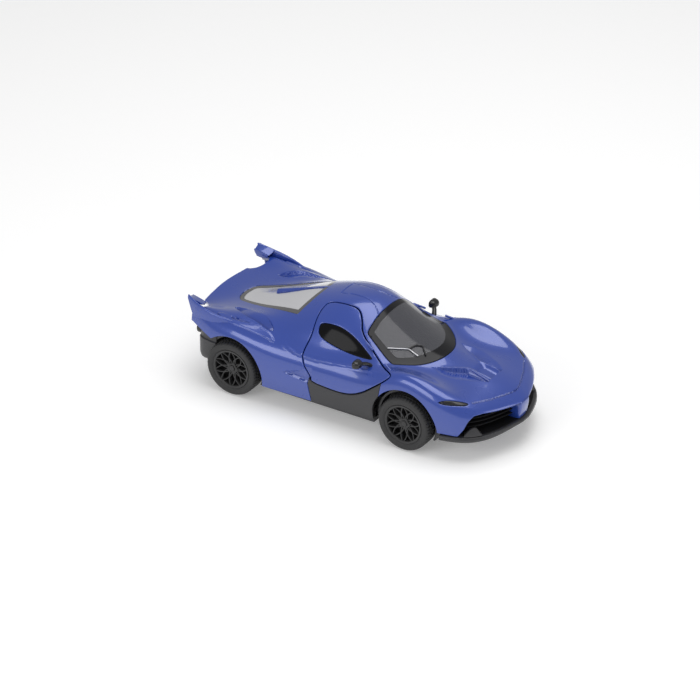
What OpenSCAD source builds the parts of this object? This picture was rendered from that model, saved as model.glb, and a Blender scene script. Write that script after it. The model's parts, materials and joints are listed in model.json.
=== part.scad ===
// Die-cast pull-back sports car with opening doors.
// +X points to the nose, +Y to the car's left, +Z up; the origin is on the ground
// under the middle of the overall length.

/* [Stance] */
// Distance between the front and the rear axle
wheelbase = 74; // [60:0.5:90]
// From the front axle to the tip of the nose
front_overhang = 35; // [30:0.5:42]
// From the rear axle to the tips of the tail fins
rear_overhang = 21; // [19:0.5:26]
// Height of the body's lower edge above the ground
ride_height = 7.5; // [6.5:0.1:8.5]

/* [Body] */
// Width over the rear haunches
body_w = 56.4; // [46:0.2:68]
// Height of the roof's crown above the ground
body_h = 42.5; // [36:0.5:51]
// Wall of the cast body and doors
wall = 1.2; // [0.9:0.1:1.6]
// Gap around the doors
door_gap = 0.4; // [0.3:0.05:0.6]
// Gap around glass, lamps and other trim
trim_gap = 0.08; // [0.05:0.01:0.15]
// Thickness of the windows
glass_t = 0.9; // [0.6:0.1:1.4]

/* [Wheels] */
// Outer radius of a tyre
tyre_r = 10.6; // [8.8:0.1:11.4]
// Width of a tyre
tyre_w = 8; // [6.5:0.1:9]
// Outer radius of a rim
rim_r = 7.7; // [6.4:0.1:8.4]
// Distance between the outer faces of two tyres on one axle
track_outer = 55.6; // [50:0.2:56.4]
// Number of spoke pairs
spoke_pairs = 10; // [5:1:14]
// Radius of an axle
axle_r = 1; // [0.8:0.05:1.3]
// Room between a tyre and its arch
arch_room = 2.9; // [2:0.1:3.4]

/* [Base] */
// Thickness of the base plate
base_t = 1.6; // [1.2:0.1:2]
// Height of the base plate's underside above the ground
base_z = 5.6; // [5:0.1:6.5]

/* [Motor] */
// Module of the motor's gears
gear_m = 0.5; // [0.45:0.01:0.55]
// Teeth on each pinion
pinion_teeth = 12; // [12:1:13]
// Teeth on the large wheel of the middle gear
idler_teeth = 20; // [18:1:22]
// Teeth on the spring drum
drum_teeth = 24; // [20:1:26]
// Wall of the motor's case
case_t = 0.9; // [0.7:0.1:1.2]
// Width of the motor over its case
motor_w = 14; // [12.5:0.5:16]

/* [Doors] */
// Radius of a hinge pin
hinge_pin_r = 0.4; // [0.3:0.05:0.5]
// Radius of a hinge knuckle
knuckle_r = 0.85; // [0.75:0.05:1]

/* [Fits] */
// Radial clearance of a turning shaft
run_fit = 0.06; // [0.03:0.01:0.1]
// Room between loose neighbours
clear = 0.3; // [0.2:0.05:0.5]

/* [Hidden] */

$fn = 48;
eps = 0.01;

blue = [0.13, 0.22, 0.66];
black = [0.09, 0.09, 0.1];
grey = [0.3, 0.3, 0.32];
smoke = [0.35, 0.37, 0.4, 0.6];
silver = [0.72, 0.72, 0.74];
steel = [0.78, 0.79, 0.8];

// ---- stations of the body ---------------------------------------------------
// The lines below were drawn for these design sizes. bx, by and bz carry a drawn
// position to the sizes chosen above.
DRAWN_WHEELBASE = 74;
DRAWN_FRONT = 30;
DRAWN_REAR = -44;
DRAWN_NOSE = 65;
DRAWN_TAIL = -65;
DRAWN_W = 56.4;
DRAWN_H = 42.5;
DRAWN_RIDE = 7.5;

length_all = wheelbase + front_overhang + rear_overhang;
front_x = length_all / 2 - front_overhang;
rear_x = rear_overhang - length_all / 2;

function bx(x) =
    x > DRAWN_FRONT ? front_x + (x - DRAWN_FRONT) * front_overhang / (DRAWN_NOSE - DRAWN_FRONT)
    : x < DRAWN_REAR ? rear_x + (x - DRAWN_REAR) * rear_overhang / (DRAWN_REAR - DRAWN_TAIL)
    : rear_x + (x - DRAWN_REAR) * wheelbase / DRAWN_WHEELBASE;
function by(y) = y * body_w / DRAWN_W;
function bz(z) = z < DRAWN_RIDE ? z + ride_height - DRAWN_RIDE
    : ride_height + (z - DRAWN_RIDE) * (body_h - ride_height) / (DRAWN_H - DRAWN_RIDE);
function bp(p) = [bx(p[0]), by(p[1]), bz(p[2])];

// Each station has its x and ten points [y, z] from the centre line of the roof, bonnet
// or deck out over the shoulder and down to the sill.
STATIONS = [
    [-62.5, [[0, 27.2], [4.5, 27.6], [9, 28.6], [13.5, 29.7], [18, 30.2],
             [22, 30.4], [24.3, 28.6], [25, 24.5], [25.2, 18], [24.6, 9]]],
    [-58, [[0, 27], [4.5, 27.3], [9, 28.2], [13.5, 29.3], [18, 30.2],
           [22.2, 30.6], [25, 28.4], [26.2, 24], [26.5, 17], [25.6, 8.5]]],
    [-51, [[0, 27.9], [4.5, 27.7], [9, 28.2], [13.5, 29], [17.8, 29.6],
           [22.2, 29.6], [25.8, 27.4], [27.6, 23.2], [27.8, 16], [26.6, 8]]],
    [-43, [[0, 30.5], [4.5, 29.7], [9, 29.2], [13.5, 29.4], [17.8, 30.3],
           [22.2, 29.4], [26, 27.2], [28, 23], [28.2, 15.5], [27, 7.6]]],
    [-34, [[0, 34.1], [4.5, 33.4], [9, 32.4], [13.5, 31.3], [17.8, 30.7],
           [22, 28.6], [25.8, 26], [27.9, 22], [28.2, 15], [27, 7.5]]],
    [-25, [[0, 37.9], [4.5, 37.4], [9, 36.1], [13.5, 33.8], [17.8, 31.3],
           [21.6, 28.3], [25.2, 25.2], [27.5, 21], [27.8, 14.5], [26.8, 7.5]]],
    [-15, [[0, 41], [4.5, 40.6], [9, 39.3], [14, 36.6], [18.2, 32.8],
           [21.4, 28.5], [24.9, 24.8], [27.1, 20.6], [27.3, 14.3], [26.5, 7.5]]],
    [-6, [[0, 42.5], [4.5, 42.2], [9, 41.1], [14.2, 37.9], [18.4, 33.5],
          [21.3, 28.6], [24.7, 24.9], [27, 20.4], [27.2, 14.3], [26.3, 7.5]]],
    [2, [[0, 42.2], [4.5, 41.8], [9, 40.4], [14, 36.9], [18, 32.6],
         [21, 28.4], [24.6, 25], [26.9, 20.4], [27.1, 14.3], [26.2, 7.6]]],
    [10, [[0, 39.2], [4.5, 38.6], [9, 37], [14, 33.6], [18, 31],
          [21, 28], [24.4, 25.2], [26.8, 20.6], [27, 14.4], [26.1, 7.7]]],
    [18, [[0, 35], [4.5, 34.4], [9, 32.8], [13.8, 30.4], [18, 28.4],
          [21.5, 27.6], [24.8, 26], [26.9, 21.2], [27.1, 14.6], [26.1, 8]]],
    [26, [[0, 30.8], [4.5, 30.2], [9, 28.9], [13.6, 27.6], [18, 27.6],
          [22, 29], [25.4, 27.8], [27.1, 22.4], [27.3, 15], [26.2, 8.4]]],
    [34, [[0, 27.6], [4.5, 27.3], [9, 26.4], [13.6, 26], [18, 27],
          [22, 28.8], [25.4, 27.6], [27.1, 22.6], [27.3, 15.4], [26.3, 8.9]]],
    [42, [[0, 26.5], [4.5, 26.2], [9, 25.4], [13.6, 25], [18, 25.6],
          [21.8, 26.6], [25, 25.4], [26.8, 21.4], [27, 15.4], [26, 9.5]]],
    [50, [[0, 25.2], [4.5, 25], [9, 24.4], [13.6, 24], [17.6, 23.8],
          [20.6, 23.6], [23.2, 22.4], [24.8, 19.4], [25.2, 15], [24.6, 10]]],
    [57, [[0, 23.2], [4, 23], [7.5, 22.6], [11, 22.1], [14.2, 21.6],
          [16.8, 20.9], [18.8, 19.8], [20.2, 17.9], [20.8, 14.6], [20.6, 10.3]]],
    [62, [[0, 20.9], [2.4, 20.8], [4.6, 20.5], [6.6, 20.2], [8.2, 19.8],
          [9.6, 19.3], [10.6, 18.6], [11.2, 17.2], [11.6, 14.4], [11.4, 10.7]]],
    [64.8, [[0, 18.9], [0.6, 18.9], [1.2, 18.85], [1.8, 18.8], [2.2, 18.7],
            [2.5, 18.5], [2.7, 18.1], [2.8, 17], [2.9, 14.4], [2.8, 11]]]
];

// ---- smooth surface through the stations ------------------------------------
// Cubic B-spline in both directions. Its control points are the drawn points, moved
// out in two passes so that the surface runs through the drawn points again.
function mirror_y(p) = [p[0], -p[1], p[2]];
function before(l, i, folded) = i > 0 ? l[i - 1] : folded ? mirror_y(l[1]) : 2 * l[0] - l[1];
function after(l, i) = i < len(l) - 1 ? l[i + 1] : 2 * l[i] - l[i - 1];
function averaged(l, folded) =
    [for (i = [0:len(l) - 1]) (before(l, i, folded) + 4 * l[i] + after(l, i)) / 6];
function moved_out(l, c, folded) = c + (l - averaged(c, folded));
function control(l, folded) = moved_out(l, moved_out(l, l, folded), folded);
function spline_at(l, u, folded) =
    let (i = min(floor(u), len(l) - 2), t = u - i)
    (pow(1 - t, 3) * before(l, i, folded)
     + (3 * pow(t, 3) - 6 * t * t + 4) * l[i]
     + (-3 * pow(t, 3) + 3 * t * t + 3 * t + 1) * l[i + 1]
     + pow(t, 3) * after(l, i + 1)) / 6;

DRAWN = [for (s = STATIONS) [for (p = s[1]) bp([s[0], p[0], p[1]])]];
ROWS = control(DRAWN, false);
NET = [for (r = ROWS) control(r, true)];
LINES = len(NET[0]) - 1;

// Facets between two stations and between two lines
per_station = 2;
per_line = 2;
STEPS_U = (len(NET) - 1) * per_station;
STEPS_V = LINES * per_line;
GRID = [for (i = [0:STEPS_U])
    let (row = spline_at(NET, i / per_station, false))
    [for (j = [-STEPS_V:STEPS_V])
        let (p = spline_at(row, abs(j) / per_line, true)) j < 0 ? mirror_y(p) : p]];
LAST = 2 * STEPS_V;
function unit(v) = v / norm(v);
NORMALS = [for (i = [0:STEPS_U]) [for (j = [0:LAST]) unit(cross(
    GRID[min(i + 1, STEPS_U)][j] - GRID[max(i - 1, 0)][j],
    GRID[i][min(j + 1, LAST)] - GRID[i][max(j - 1, 0)]))]];

function at_depth(d) =
    [for (i = [0:STEPS_U]) for (j = [0:LAST]) GRID[i][j] - d * NORMALS[i][j]];
function cell(i, j, base, outward) =
    let (a = base + i * (LAST + 1) + j, b = a + 1, c = a + LAST + 2, d = a + LAST + 1)
    outward ? [[a, b, c], [a, c, d]] : [[a, c, b], [a, d, c]];
function surface_faces(base, outward) =
    [for (i = [0:STEPS_U - 1]) for (j = [0:LAST - 1]) for (f = cell(i, j, base, outward)) f];
function rim(a, b, n) = [[a, a + n, b + n], [a, b + n, b]];

// The layer of the body between two depths below its outer surface
module skin(d0, d1) {
    n = (STEPS_U + 1) * (LAST + 1);
    w = LAST + 1;
    polyhedron(
        points = concat(at_depth(d0), at_depth(d1)),
        faces = concat(
            surface_faces(0, true),
            surface_faces(n, false),
            [for (i = [0:STEPS_U - 1]) for (f = rim(i * w, (i + 1) * w, n)) [f[2], f[1], f[0]]],
            [for (i = [0:STEPS_U - 1]) for (f = rim(i * w + LAST, (i + 1) * w + LAST, n)) f],
            [for (j = [0:LAST - 1]) for (f = rim(j, j + 1, n)) f],
            [for (j = [0:LAST - 1]) for (f = rim(STEPS_U * w + j, STEPS_U * w + j + 1, n))
                [f[2], f[1], f[0]]]
        ), convexity = 10);
}

// Everything inside the body, down to its lower edge
module core(d) {
    w = LAST + 1;
    n = (STEPS_U + 1) * w;
    pts = at_depth(d);
    tail = [pts[0][0], 0, pts[0][2]];
    nose = [pts[n - 1][0], 0, pts[n - 1][2]];
    polyhedron(
        points = concat(pts, [tail, nose]),
        faces = concat(
            surface_faces(0, true),
            [for (i = [0:STEPS_U - 1]) let (a = i * w, b = a + w)
                for (f = [[a, b, b + LAST], [a, b + LAST, a + LAST]]) f],
            [for (j = [0:LAST - 1]) [j + 1, j, n]],
            [[0, LAST, n]],
            [for (j = [0:LAST - 1]) let (a = STEPS_U * w + j) [a, a + 1, n + 1]],
            [[STEPS_U * w + LAST, STEPS_U * w, n + 1]]
        ), convexity = 10);
}

// A no-op that keeps a cast shell as one mesh
module cast_mesh() resize([0, 0, 0]) children();

// ---- outlines on the body ---------------------------------------------------
// A side outline is drawn through points [x, y, z] on the right side and cut square to
// a plane that leans back by this angle.
lean = 35;
function in_side_plane(p) = let (q = bp(p)) [q[0], cos(lean) * q[2] - sin(lean) * q[1]];
function plan(p) = [bx(p[0]), by(p[1])];

// Corner cutting, which rounds an outline a little more with each pass
function cut_corners(l) = [for (i = [0:len(l) - 1])
    let (a = l[i], b = l[(i + 1) % len(l)]) for (q = [a + 0.25 * (b - a), b - 0.25 * (b - a)]) q];
function rounded(l, n = 2) = n == 0 ? l : rounded(cut_corners(l), n - 1);

DOOR = [[-12.6, 9.2, 40.1], [-6, 9, 41.1], [0.2, 9, 40.9], [3.2, 12, 38.3], [4.8, 15, 35.2],
    [10.4, 17.6, 31.5], [17.1, 21.2, 28], [23.4, 24.4, 27.9], [22.7, 25.5, 26.4],
    [17.6, 26.6, 22.2], [11.8, 27.1, 17.6], [5.8, 27.1, 15.3], [-1, 27.1, 15.2],
    [-9.6, 27.2, 16], [-10.8, 27.2, 19.2], [-12.8, 26.6, 22], [-14.4, 24.8, 24.9],
    [-14.4, 22.8, 27], [-13.5, 19.6, 31.2], [-14.1, 15.6, 35.4], [-14, 12, 38.3]];
DOOR_WINDOW = [[-11.4, 16.6, 35.1], [-7.9, 16.4, 35.7], [-3, 16.4, 35.7], [1.5, 16.9, 34.4],
    [6.2, 17.9, 32.2], [10, 19.1, 30.1], [13.2, 20.3, 28.6], [8, 20.8, 28.4], [2, 20.9, 28.7],
    [-3.4, 20.7, 29.5], [-8.1, 20.3, 30.5], [-11, 19.5, 31.6], [-11.8, 17.8, 33.8]];
SILL = [[-9.5, 6], [-10.8, 15], [-10, 18], [6, 21], [17, 25], [20, 24.4], [17.6, 6]];
WINDSCREEN = [[7.4, 0], [7.2, 5], [6.8, 10], [6.5, 13.4], [6.8, 14.3], [7.8, 14.6], [13, 16.1],
    [18.8, 18], [20.3, 18.1], [21.4, 17.4], [24, 15.7],
    [27.6, 12.7], [31, 8], [32.8, 3.5], [33.1, 0]];
REAR_GLASS = [[-18.4, 0], [-18.8, 4], [-20.4, 9], [-22.6, 13.4], [-23.2, 14.4], [-24.4, 14.2],
    [-33, 12.3], [-42, 9.9], [-50, 7.6], [-53.4, 6.6], [-55.1, 4.4], [-55.7, 2], [-55.8, 0]];
SPINE = [[-17, 0.7], [-24, 0.9], [-33, 1.3], [-41.5, 1.7], [-43, 0.9], [-43.2, 0]];
HEADLIGHT = [[42.2, 26.6], [46, 24.6], [50, 21.8], [53.9, 18.3], [52.7, 17.9], [48.6, 20.9],
    [45, 23.3]];
// Notch in the deck's rear edge, inside each fin
TAIL_NOTCH = [[-67, 9], [-62.2, 10], [-60.6, 12.6], [-58.8, 15.6], [-57.4, 18.6], [-57.6, 21], [-59, 22.2],
    [-67, 22.4]];
// Side view of the black lower front: splitter, corner vanes and intakes
LOWER_FRONT = [[41, 5], [41, 10.7], [51.2, 10.7], [53.3, 13.8], [54.6, 17], [55.9, 19], [58, 19.3],
    [63.7, 18.4], [67, 18.3], [67, 5]];

function both_sides(l) =
    concat(l, [for (i = [len(l) - 1:-1:0]) if (abs(l[i][1]) > eps) [l[i][0], -l[i][1]]]);
module both() {
    children();
    mirror([0, 1, 0]) children();
}
// Prism through one side of the body, square to the leaning plane
module side_prism(l, grow = 0)
    rotate([90 - lean, 0, 0]) translate([0, 0, 14]) linear_extrude(40)
        offset(delta = grow) polygon(rounded([for (p = l) in_side_plane(p)]));
// Prism straight through one side
module flank_prism(l, grow = 0, from_y = 16)
    rotate([90, 0, 0]) translate([0, 0, by(from_y)]) linear_extrude(body_w)
        offset(delta = grow) polygon([for (p = l) [bx(p[0]), bz(p[1])]]);
// Upright prism
module plan_prism(l, z0, grow = 0)
    translate([0, 0, bz(z0)]) linear_extrude(60)
        offset(delta = grow) polygon(rounded([for (p = l) plan(p)]));
// ---- wheels and arches ------------------------------------------------------
arch_r = tyre_r + arch_room;
wheel_y = track_outer / 2 - tyre_w / 2;
arch_inner_y = wheel_y - tyre_w / 2 - 1.4;
module across(x, z, r, y0, y1)
    translate([x, y1, z]) rotate([90, 0, 0]) cylinder(r = r, h = y1 - y0);
module arches(r)
    for (x = [front_x, rear_x]) both() across(x, tyre_r, r, arch_inner_y, body_w);

module rim_part() {
    w = tyre_w - 0.8;
    barrel = rim_r - 0.9;
    hub = 1.9;
    dish = 0.7;
    face_t = 1.4;
    rotate([90, 0, 0]) difference() {
        union() {
            rotate_extrude() polygon([[barrel, -w / 2], [rim_r - 0.5, -w / 2], [rim_r - 0.5, w / 2 - 0.6],
                [rim_r, w / 2 - 0.6], [rim_r, w / 2], [barrel, w / 2]]);
            cylinder(r = hub, h = w / 2 - dish);
            intersection() {
                translate([0, 0, w / 2 - dish - face_t]) cylinder(r = barrel + 0.2, h = face_t);
                for (i = [0:spoke_pairs - 1]) for (s = [-1, 1]) rotate(i * 360 / spoke_pairs + s * 5)
                    translate([hub * 0.6, -0.32, 0]) rotate(s * 9) cube([rim_r, 0.64, w]);
            }
        }
        translate([0, 0, -w]) cylinder(r = axle_r, h = w + w / 2 - dish - 0.5);
    }
}
module tyre_part() {
    bead = rim_r - 0.5 + 0.02;
    s = 1.1;
    rotate([90, 0, 0]) rotate_extrude($fn = 96) polygon([
        [bead, -tyre_w / 2 + 0.9], [tyre_r - 1.6, -tyre_w / 2], [tyre_r - s * 0.45, -tyre_w / 2 + 0.35],
        [tyre_r, -tyre_w / 2 + s], [tyre_r, tyre_w / 2 - s], [tyre_r - s * 0.45, tyre_w / 2 - 0.35],
        [tyre_r - 1.6, tyre_w / 2], [rim_r + 0.3, tyre_w / 2 - 0.3], [rim_r + 0.05, tyre_w / 2 - 1.05],
        [bead, tyre_w / 2 - 1.05]]);
}
module at_wheel(x, side)
    translate([x, side * wheel_y, tyre_r]) rotate([0, 0, side > 0 ? 180 : 0]) children();
module axle(x, grow = 0) across(x, tyre_r, axle_r, -wheel_y - tyre_w / 2 + 1.8, wheel_y + tyre_w / 2 - 1.8);

// ---- door hinges ------------------------------------------------------------
hinge_a = bp([5.4, 15.6, 33.5]);
hinge_b = bp([23.2, 22.8, 27.3]);
hinge_l = norm(hinge_b - hinge_a);
lug_l = 1.3;
knuckle_l = 2.2;
hinge_play = 0.12;
hinge_at = [4.6, hinge_l - 3.2];
module right(p) translate([p[0], -p[1], p[2]]) children();
// +Z runs along the right door's hinge axis, from the roof end to the nose end
module on_hinge() {
    v = hinge_b - hinge_a;
    right(hinge_a) rotate([0, acos(v[2] / hinge_l), atan2(-v[1], v[0])]) children();
}
module knuckles(r, grow = 0)
    on_hinge() for (s = hinge_at)
        translate([0, 0, s - knuckle_l / 2 - grow]) cylinder(r = r, h = knuckle_l + 2 * grow);
module lugs(r, grow = 0)
    on_hinge() for (s = hinge_at) for (k = [-1, 1])
        translate([0, 0, s + k * (knuckle_l / 2 + hinge_play + lug_l / 2) - lug_l / 2 - grow])
            cylinder(r = r, h = lug_l + 2 * grow);
// Lugs of the body, each with an arm that reaches under the skin
lug_arm = [1.2, -2.2, 1.4];
module lug_arms(grow = 0)
    for (s = hinge_at) for (k = [-1, 1]) hull() for (v = [[0, 0, 0], lug_arm]) right(v) on_hinge()
        translate([0, 0, s + k * (knuckle_l / 2 + hinge_play + lug_l / 2) - lug_l / 2 - grow])
            cylinder(r = knuckle_r + grow, h = lug_l + 2 * grow, $fn = 24);
module pins(r)
    on_hinge() for (s = hinge_at) translate([0, 0, s - knuckle_l / 2 - hinge_play - lug_l + 0.1])
        cylinder(r = r, h = knuckle_l + 2 * hinge_play + 2 * lug_l - 0.2);
module door_skin(grow = 0)
    intersection() {
        skin(-grow, wall + grow);
        side_prism(DOOR, grow - door_gap / 2);
    }
module right_door() {
    difference() {
        union() {
            cast_mesh() difference() {
                door_skin();
                side_prism(DOOR_WINDOW);
                lugs(knuckle_r + 0.25, 0.15);
            }
            knuckles(knuckle_r);
        }
        pins(hinge_pin_r + run_fit);
    }
}
// ---- body -------------------------------------------------------------------
post_r = 2.4;
screw_r = 0.9;
front_post = [bx(47), 0];
rear_post = [bx(-54.5), 0];
posts = [front_post, rear_post];
post_z = base_z + base_t + 0.6;
fin_t = 1.1;

module fin() {
    root = [[-44.5, 24.2, 28.9], [-51, 25.6, 28.4], [-61.4, 24.6, 25.4]];
    tip = [[-64.4, 23.4, 33.4], [-60.8, 23.7, 33]];
    hull() for (p = concat(root, tip)) translate(bp(p)) sphere(d = fin_t, $fn = 10);
    // winglet that reaches inwards, with its end plate
    hull() for (p = [[-64.3, 23.4, 33.4], [-59.2, 24, 32], [-64.3, 21.2, 32.6], [-58.9, 21.2, 31.6]])
        translate(bp(p)) sphere(d = fin_t * 0.9, $fn = 10);
    hull() for (p = [[-64.2, 20.6, 32.2], [-59, 20.6, 31.5], [-63.6, 20.6, 30.1], [-59.2, 20.6, 30]])
        translate(bp(p)) sphere(d = fin_t * 0.9, $fn = 10);
}
module spine_ridge(grow = 0)
    hull() {
        translate(bp([-22, 0, 38.2])) sphere(d = 1 + 2 * grow, $fn = 10);
        for (s = [-1, 1]) translate(bp([-41.6, s * 1.1, 30.9])) sphere(d = 1 + 2 * grow, $fn = 10);
        translate(bp([-41.4, 0, 32])) sphere(d = 0.9 + 2 * grow, $fn = 10);
    }
module keel(grow = 0)
    hull() for (s = [-1, 1])
        for (p = [[64, 3.1, 18.5], [63.4, 2.6, 12.2], [59.5, 3.6, 18.9], [59.5, 2.6, 12.2]])
            translate(bp([p[0], s * p[1], p[2]])) sphere(d = 1 + 2 * grow, $fn = 10);
// Relief in the body where the door's front tip swings in
module tip_room()
    hull() for (p = [[22.3, -24.5, 27.6], [23.4, -23.2, 28.1]])
        translate(bp(p)) sphere(r = 0.75, $fn = 12);
module body_shell() color(blue) cast_mesh() difference() {
    union() {
        difference() {
            skin(0, wall);
            both() side_prism(DOOR, door_gap / 2);
            both() flank_prism(SILL, trim_gap);
            plan_prism(both_sides(WINDSCREEN), 20);
            difference() {
                plan_prism(both_sides(REAR_GLASS), 20);
                plan_prism(both_sides(SPINE), 20);
            }
            both() plan_prism(HEADLIGHT, 18);
            both() flank_prism(LOWER_FRONT, 0, -1);
            both() tip_room();
            arches(arch_r);
            both() plan_prism(TAIL_NOTCH, 20);
            // the tail below the deck is open for the rear bumper
            translate([bx(-70), -body_w, 0]) cube([bx(-51.2) - bx(-70), 2 * body_w, bz(21)]);
            both() rotate([90, 0, 0]) translate([0, 0, by(10)]) linear_extrude(body_w)
                polygon([[bx(-51.3), bz(20.9)], [bx(-62), bz(24.6)], [bx(-68), bz(24.6)],
                    [bx(-68), bz(18)], [bx(-51.3), bz(18)]]);
            both() knuckles(knuckle_r + 0.25, 0.12);
        }
        both() fin();
        spine_ridge();
        keel();
        both() intersection() {
            lug_arms();
            core(0.05);
        }
        intersection() {
            core(wall / 2);
            for (p = posts) translate([p[0], p[1], post_z]) cylinder(r = post_r, h = body_h);
        }
    }
    for (p = posts) translate([p[0], p[1], 0]) cylinder(r = screw_r - 0.02, h = post_z + 6);
    both() pins(hinge_pin_r);
}

module mirror_part() cast_mesh() {
    // foot pressed into the door, short arm, and housing
    foot = bp([12.6, 22.4, 27.4]);
    root = bp([12.3, 23, 28.4]);
    head = bp([10.3, 27, 29]);
    hull() {
        right(foot) sphere(d = 1.3, $fn = 12);
        right(root) sphere(d = 1.3, $fn = 12);
    }
    hull() {
        right(root) sphere(d = 1.3, $fn = 12);
        right(head) sphere(d = 1.4, $fn = 12);
    }
    hull() for (d = [[0.9, -0.6, 0.7], [0.9, -0.6, -0.9], [0.7, 1.1, 0.6], [0.7, 1.1, -0.7],
            [-0.9, -0.6, 0.9], [-0.9, -0.6, -1.1], [-0.8, 1.1, 0.7], [-0.8, 1.1, -0.8]])
        right(head + d) sphere(d = 1.1, $fn = 12);
}
module door_right() color(blue) right_door();
module door_left() color(blue) mirror([0, 1, 0]) right_door();
module mirror_right() color(black) mirror_part();
module mirror_left() color(black) mirror([0, 1, 0]) mirror_part();
module door_hinge_pins() color(steel) both() pins(hinge_pin_r);

// ---- glass and lamps --------------------------------------------------------
flange = 1.5;
module window(l) {
    cast_mesh() union() {
        intersection() {
            skin(0.15, wall + trim_gap + glass_t);
            plan_prism(l, 20, -trim_gap);
        }
        intersection() {
            skin(wall + trim_gap, wall + trim_gap + glass_t);
            plan_prism(l, 20, flange);
        }
    }
}
// Room that the doors, their hinges and their paths need behind the glass
module hinge_room() both() {
    lug_arms(clear);
    knuckles(knuckle_r + clear, clear);
    side_prism(DOOR, door_gap / 2 + 0.1);
}
module windscreen() color(smoke) cast_mesh() difference() {
    window(both_sides(WINDSCREEN));
    hinge_room();
}
module rear_window() color(silver) cast_mesh() difference() {
    union() {
        intersection() {
            skin(0.15, wall + trim_gap + glass_t);
            difference() {
                plan_prism(both_sides(REAR_GLASS), 20, -trim_gap);
                plan_prism(both_sides(SPINE), 20, trim_gap);
            }
        }
        intersection() {
            skin(wall + trim_gap, wall + trim_gap + glass_t);
            plan_prism(both_sides(REAR_GLASS), 20, flange);
        }
    }
    spine_ridge(trim_gap);
    translate([rear_post[0], 0, 0]) cylinder(r = post_r + trim_gap, h = body_h);
}
module headlight(side) color(black) mirror([0, side > 0 ? 0 : 1, 0]) cast_mesh() intersection() {
    skin(0.1, wall + 0.4);
    plan_prism(HEADLIGHT, 18, -trim_gap);
}
module headlight_left() headlight(1);
module headlight_right() headlight(-1);
lamp_r = 2.4;
lamp_at = bp([-60.6, 19.2, 19.5]);
module tail_lamp(side) color([0.6, 0.05, 0.05])
    translate([lamp_at[0], side * lamp_at[1], lamp_at[2]]) rotate([0, -90, 0]) rotate_extrude()
        polygon([[0, 0], [lamp_r, 0], [lamp_r, 1.6], [lamp_r - 0.5, 2], [lamp_r / 2, 2.3], [0, 2.4]]);
module tail_lamp_left() tail_lamp(1);
module tail_lamp_right() tail_lamp(-1);

// ---- bumpers and sills ------------------------------------------------------
// Plan of the lower front, along one line of the body's surface from the wheel arch
// to the keel
lower_line = 8;
FRONT_LINE = [for (i = [0:STEPS_U]) let (p = GRID[i][STEPS_V + lower_line * per_line])
    if (p[0] > bx(44.6)) [p[0], p[1]]];
module front_plan(inset)
    offset(delta = -inset) polygon(concat([[bx(44.6), 0]], FRONT_LINE, [[last_x(FRONT_LINE), 0]]));
function last_x(l) = l[len(l) - 1][0];
module front_band(z0, z1, out, in, x0)
    both() intersection() {
        translate([0, 0, bz(z0)]) linear_extrude(bz(z1) - bz(z0)) difference() {
            front_plan(out);
            front_plan(in);
        }
        translate([bx(x0), 0, 0]) cube([body_w, body_w, body_h]);
    }
module front_bumper() color(black) difference() {
    union() {
        // lip
        intersection() {
            translate([0, 0, bz(8.4)]) linear_extrude(bz(10.4) - bz(8.4)) union() {
                front_plan(-0.2);
                mirror([0, 1]) front_plan(-0.2);
            }
            translate([bx(44), -body_w, 0]) cube([body_w, 2 * body_w, body_h]);
        }
        // lower face, back wall of the intakes and two slats
        front_band(10.3, 13.2, 0.4, 1.9, 53.4);
        front_band(10.3, 18.4, 5, 6, 51.5);
        front_band(12.2, 13.2, 0.4, 5.4, 53.4);
        for (z = [14.8, 16.4]) front_band(z, z + 0.6, 2.6, 5.4, 52.5);
    }
    keel(0.12);
    translate([front_post[0], 0, 0]) cylinder(r = post_r + clear, h = body_h);
    arches(arch_r);
}

tail_front = bx(-57);
module rear_bumper() color(black) difference() {
    union() {
        // upright panel below the deck
        hull() for (s = [-1, 1]) {
            translate([tail_front - 3.4, s * by(23), bz(9)]) cube([3, 0.4, bz(23.2) - bz(9)], center = false);
            translate([tail_front - 4.6, s * by(15), bz(10)]) cube([4, 0.4, bz(23.6) - bz(10)], center = false);
        }
        // corners that wrap round to the wheel arches
        for (s = [-1, 1]) hull() {
            translate([tail_front - 1.5, s * by(23.4) - 1, bz(9)]) cube([1.6, 2, bz(22.4) - bz(9)]);
            translate([bx(-51.6), s * by(24.7) - 0.8, bz(11)]) cube([1, 1.6, bz(18.6) - bz(11)]);
        }
        // sloping diffuser and its strakes
        hull() {
            translate([tail_front - 4.6, -by(19), bz(8)]) cube([1.2, 2 * by(19), 1.6]);
            translate([tail_front - 1.4, -by(17), bz(8)]) cube([1.2, 2 * by(17), 1.2]);
        }
        for (y = [-18, -9, 9, 18]) hull() {
            translate([tail_front - 5, by(y) - 0.5, bz(6.2)]) cube([0.8, 1, 3]);
            translate([tail_front - 1.2, by(y) - 0.5, bz(7.4)]) cube([0.8, 1, 2]);
        }
    }
    for (s = [-1, 1]) translate([lamp_at[0] + 0.02 - 4, s * lamp_at[1], lamp_at[2]]) rotate([0, 90, 0])
        cylinder(r = lamp_r + trim_gap, h = 4);
    for (s = [-1, 1]) across_x(exhaust_y * s, exhaust_z, exhaust_r + trim_gap);
    arches(arch_r);
}
exhaust_r = 1.7;
exhaust_y = by(4.6);
exhaust_z = bz(13);
module across_x(y, z, r) translate([tail_front - 7, y, z]) rotate([0, 90, 0]) cylinder(r = r, h = 8.5);
module exhaust_tips() color(steel) for (s = [-1, 1]) difference() {
    translate([tail_front - 6, s * exhaust_y, exhaust_z]) rotate([0, 90, 0]) cylinder(r = exhaust_r, h = 6);
    translate([tail_front - 7, s * exhaust_y, exhaust_z]) rotate([0, 90, 0]) cylinder(r = exhaust_r - 0.4, h = 5);
}
module sill(side) color(grey) mirror([0, side > 0 ? 1 : 0, 0]) cast_mesh() difference() {
    intersection() {
        skin(0, wall + 0.5);
        flank_prism(SILL, 0);
    }
    side_prism(DOOR, door_gap / 2);
    arches(arch_r);
}
module sill_left() sill(1);
module sill_right() sill(-1);

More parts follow.
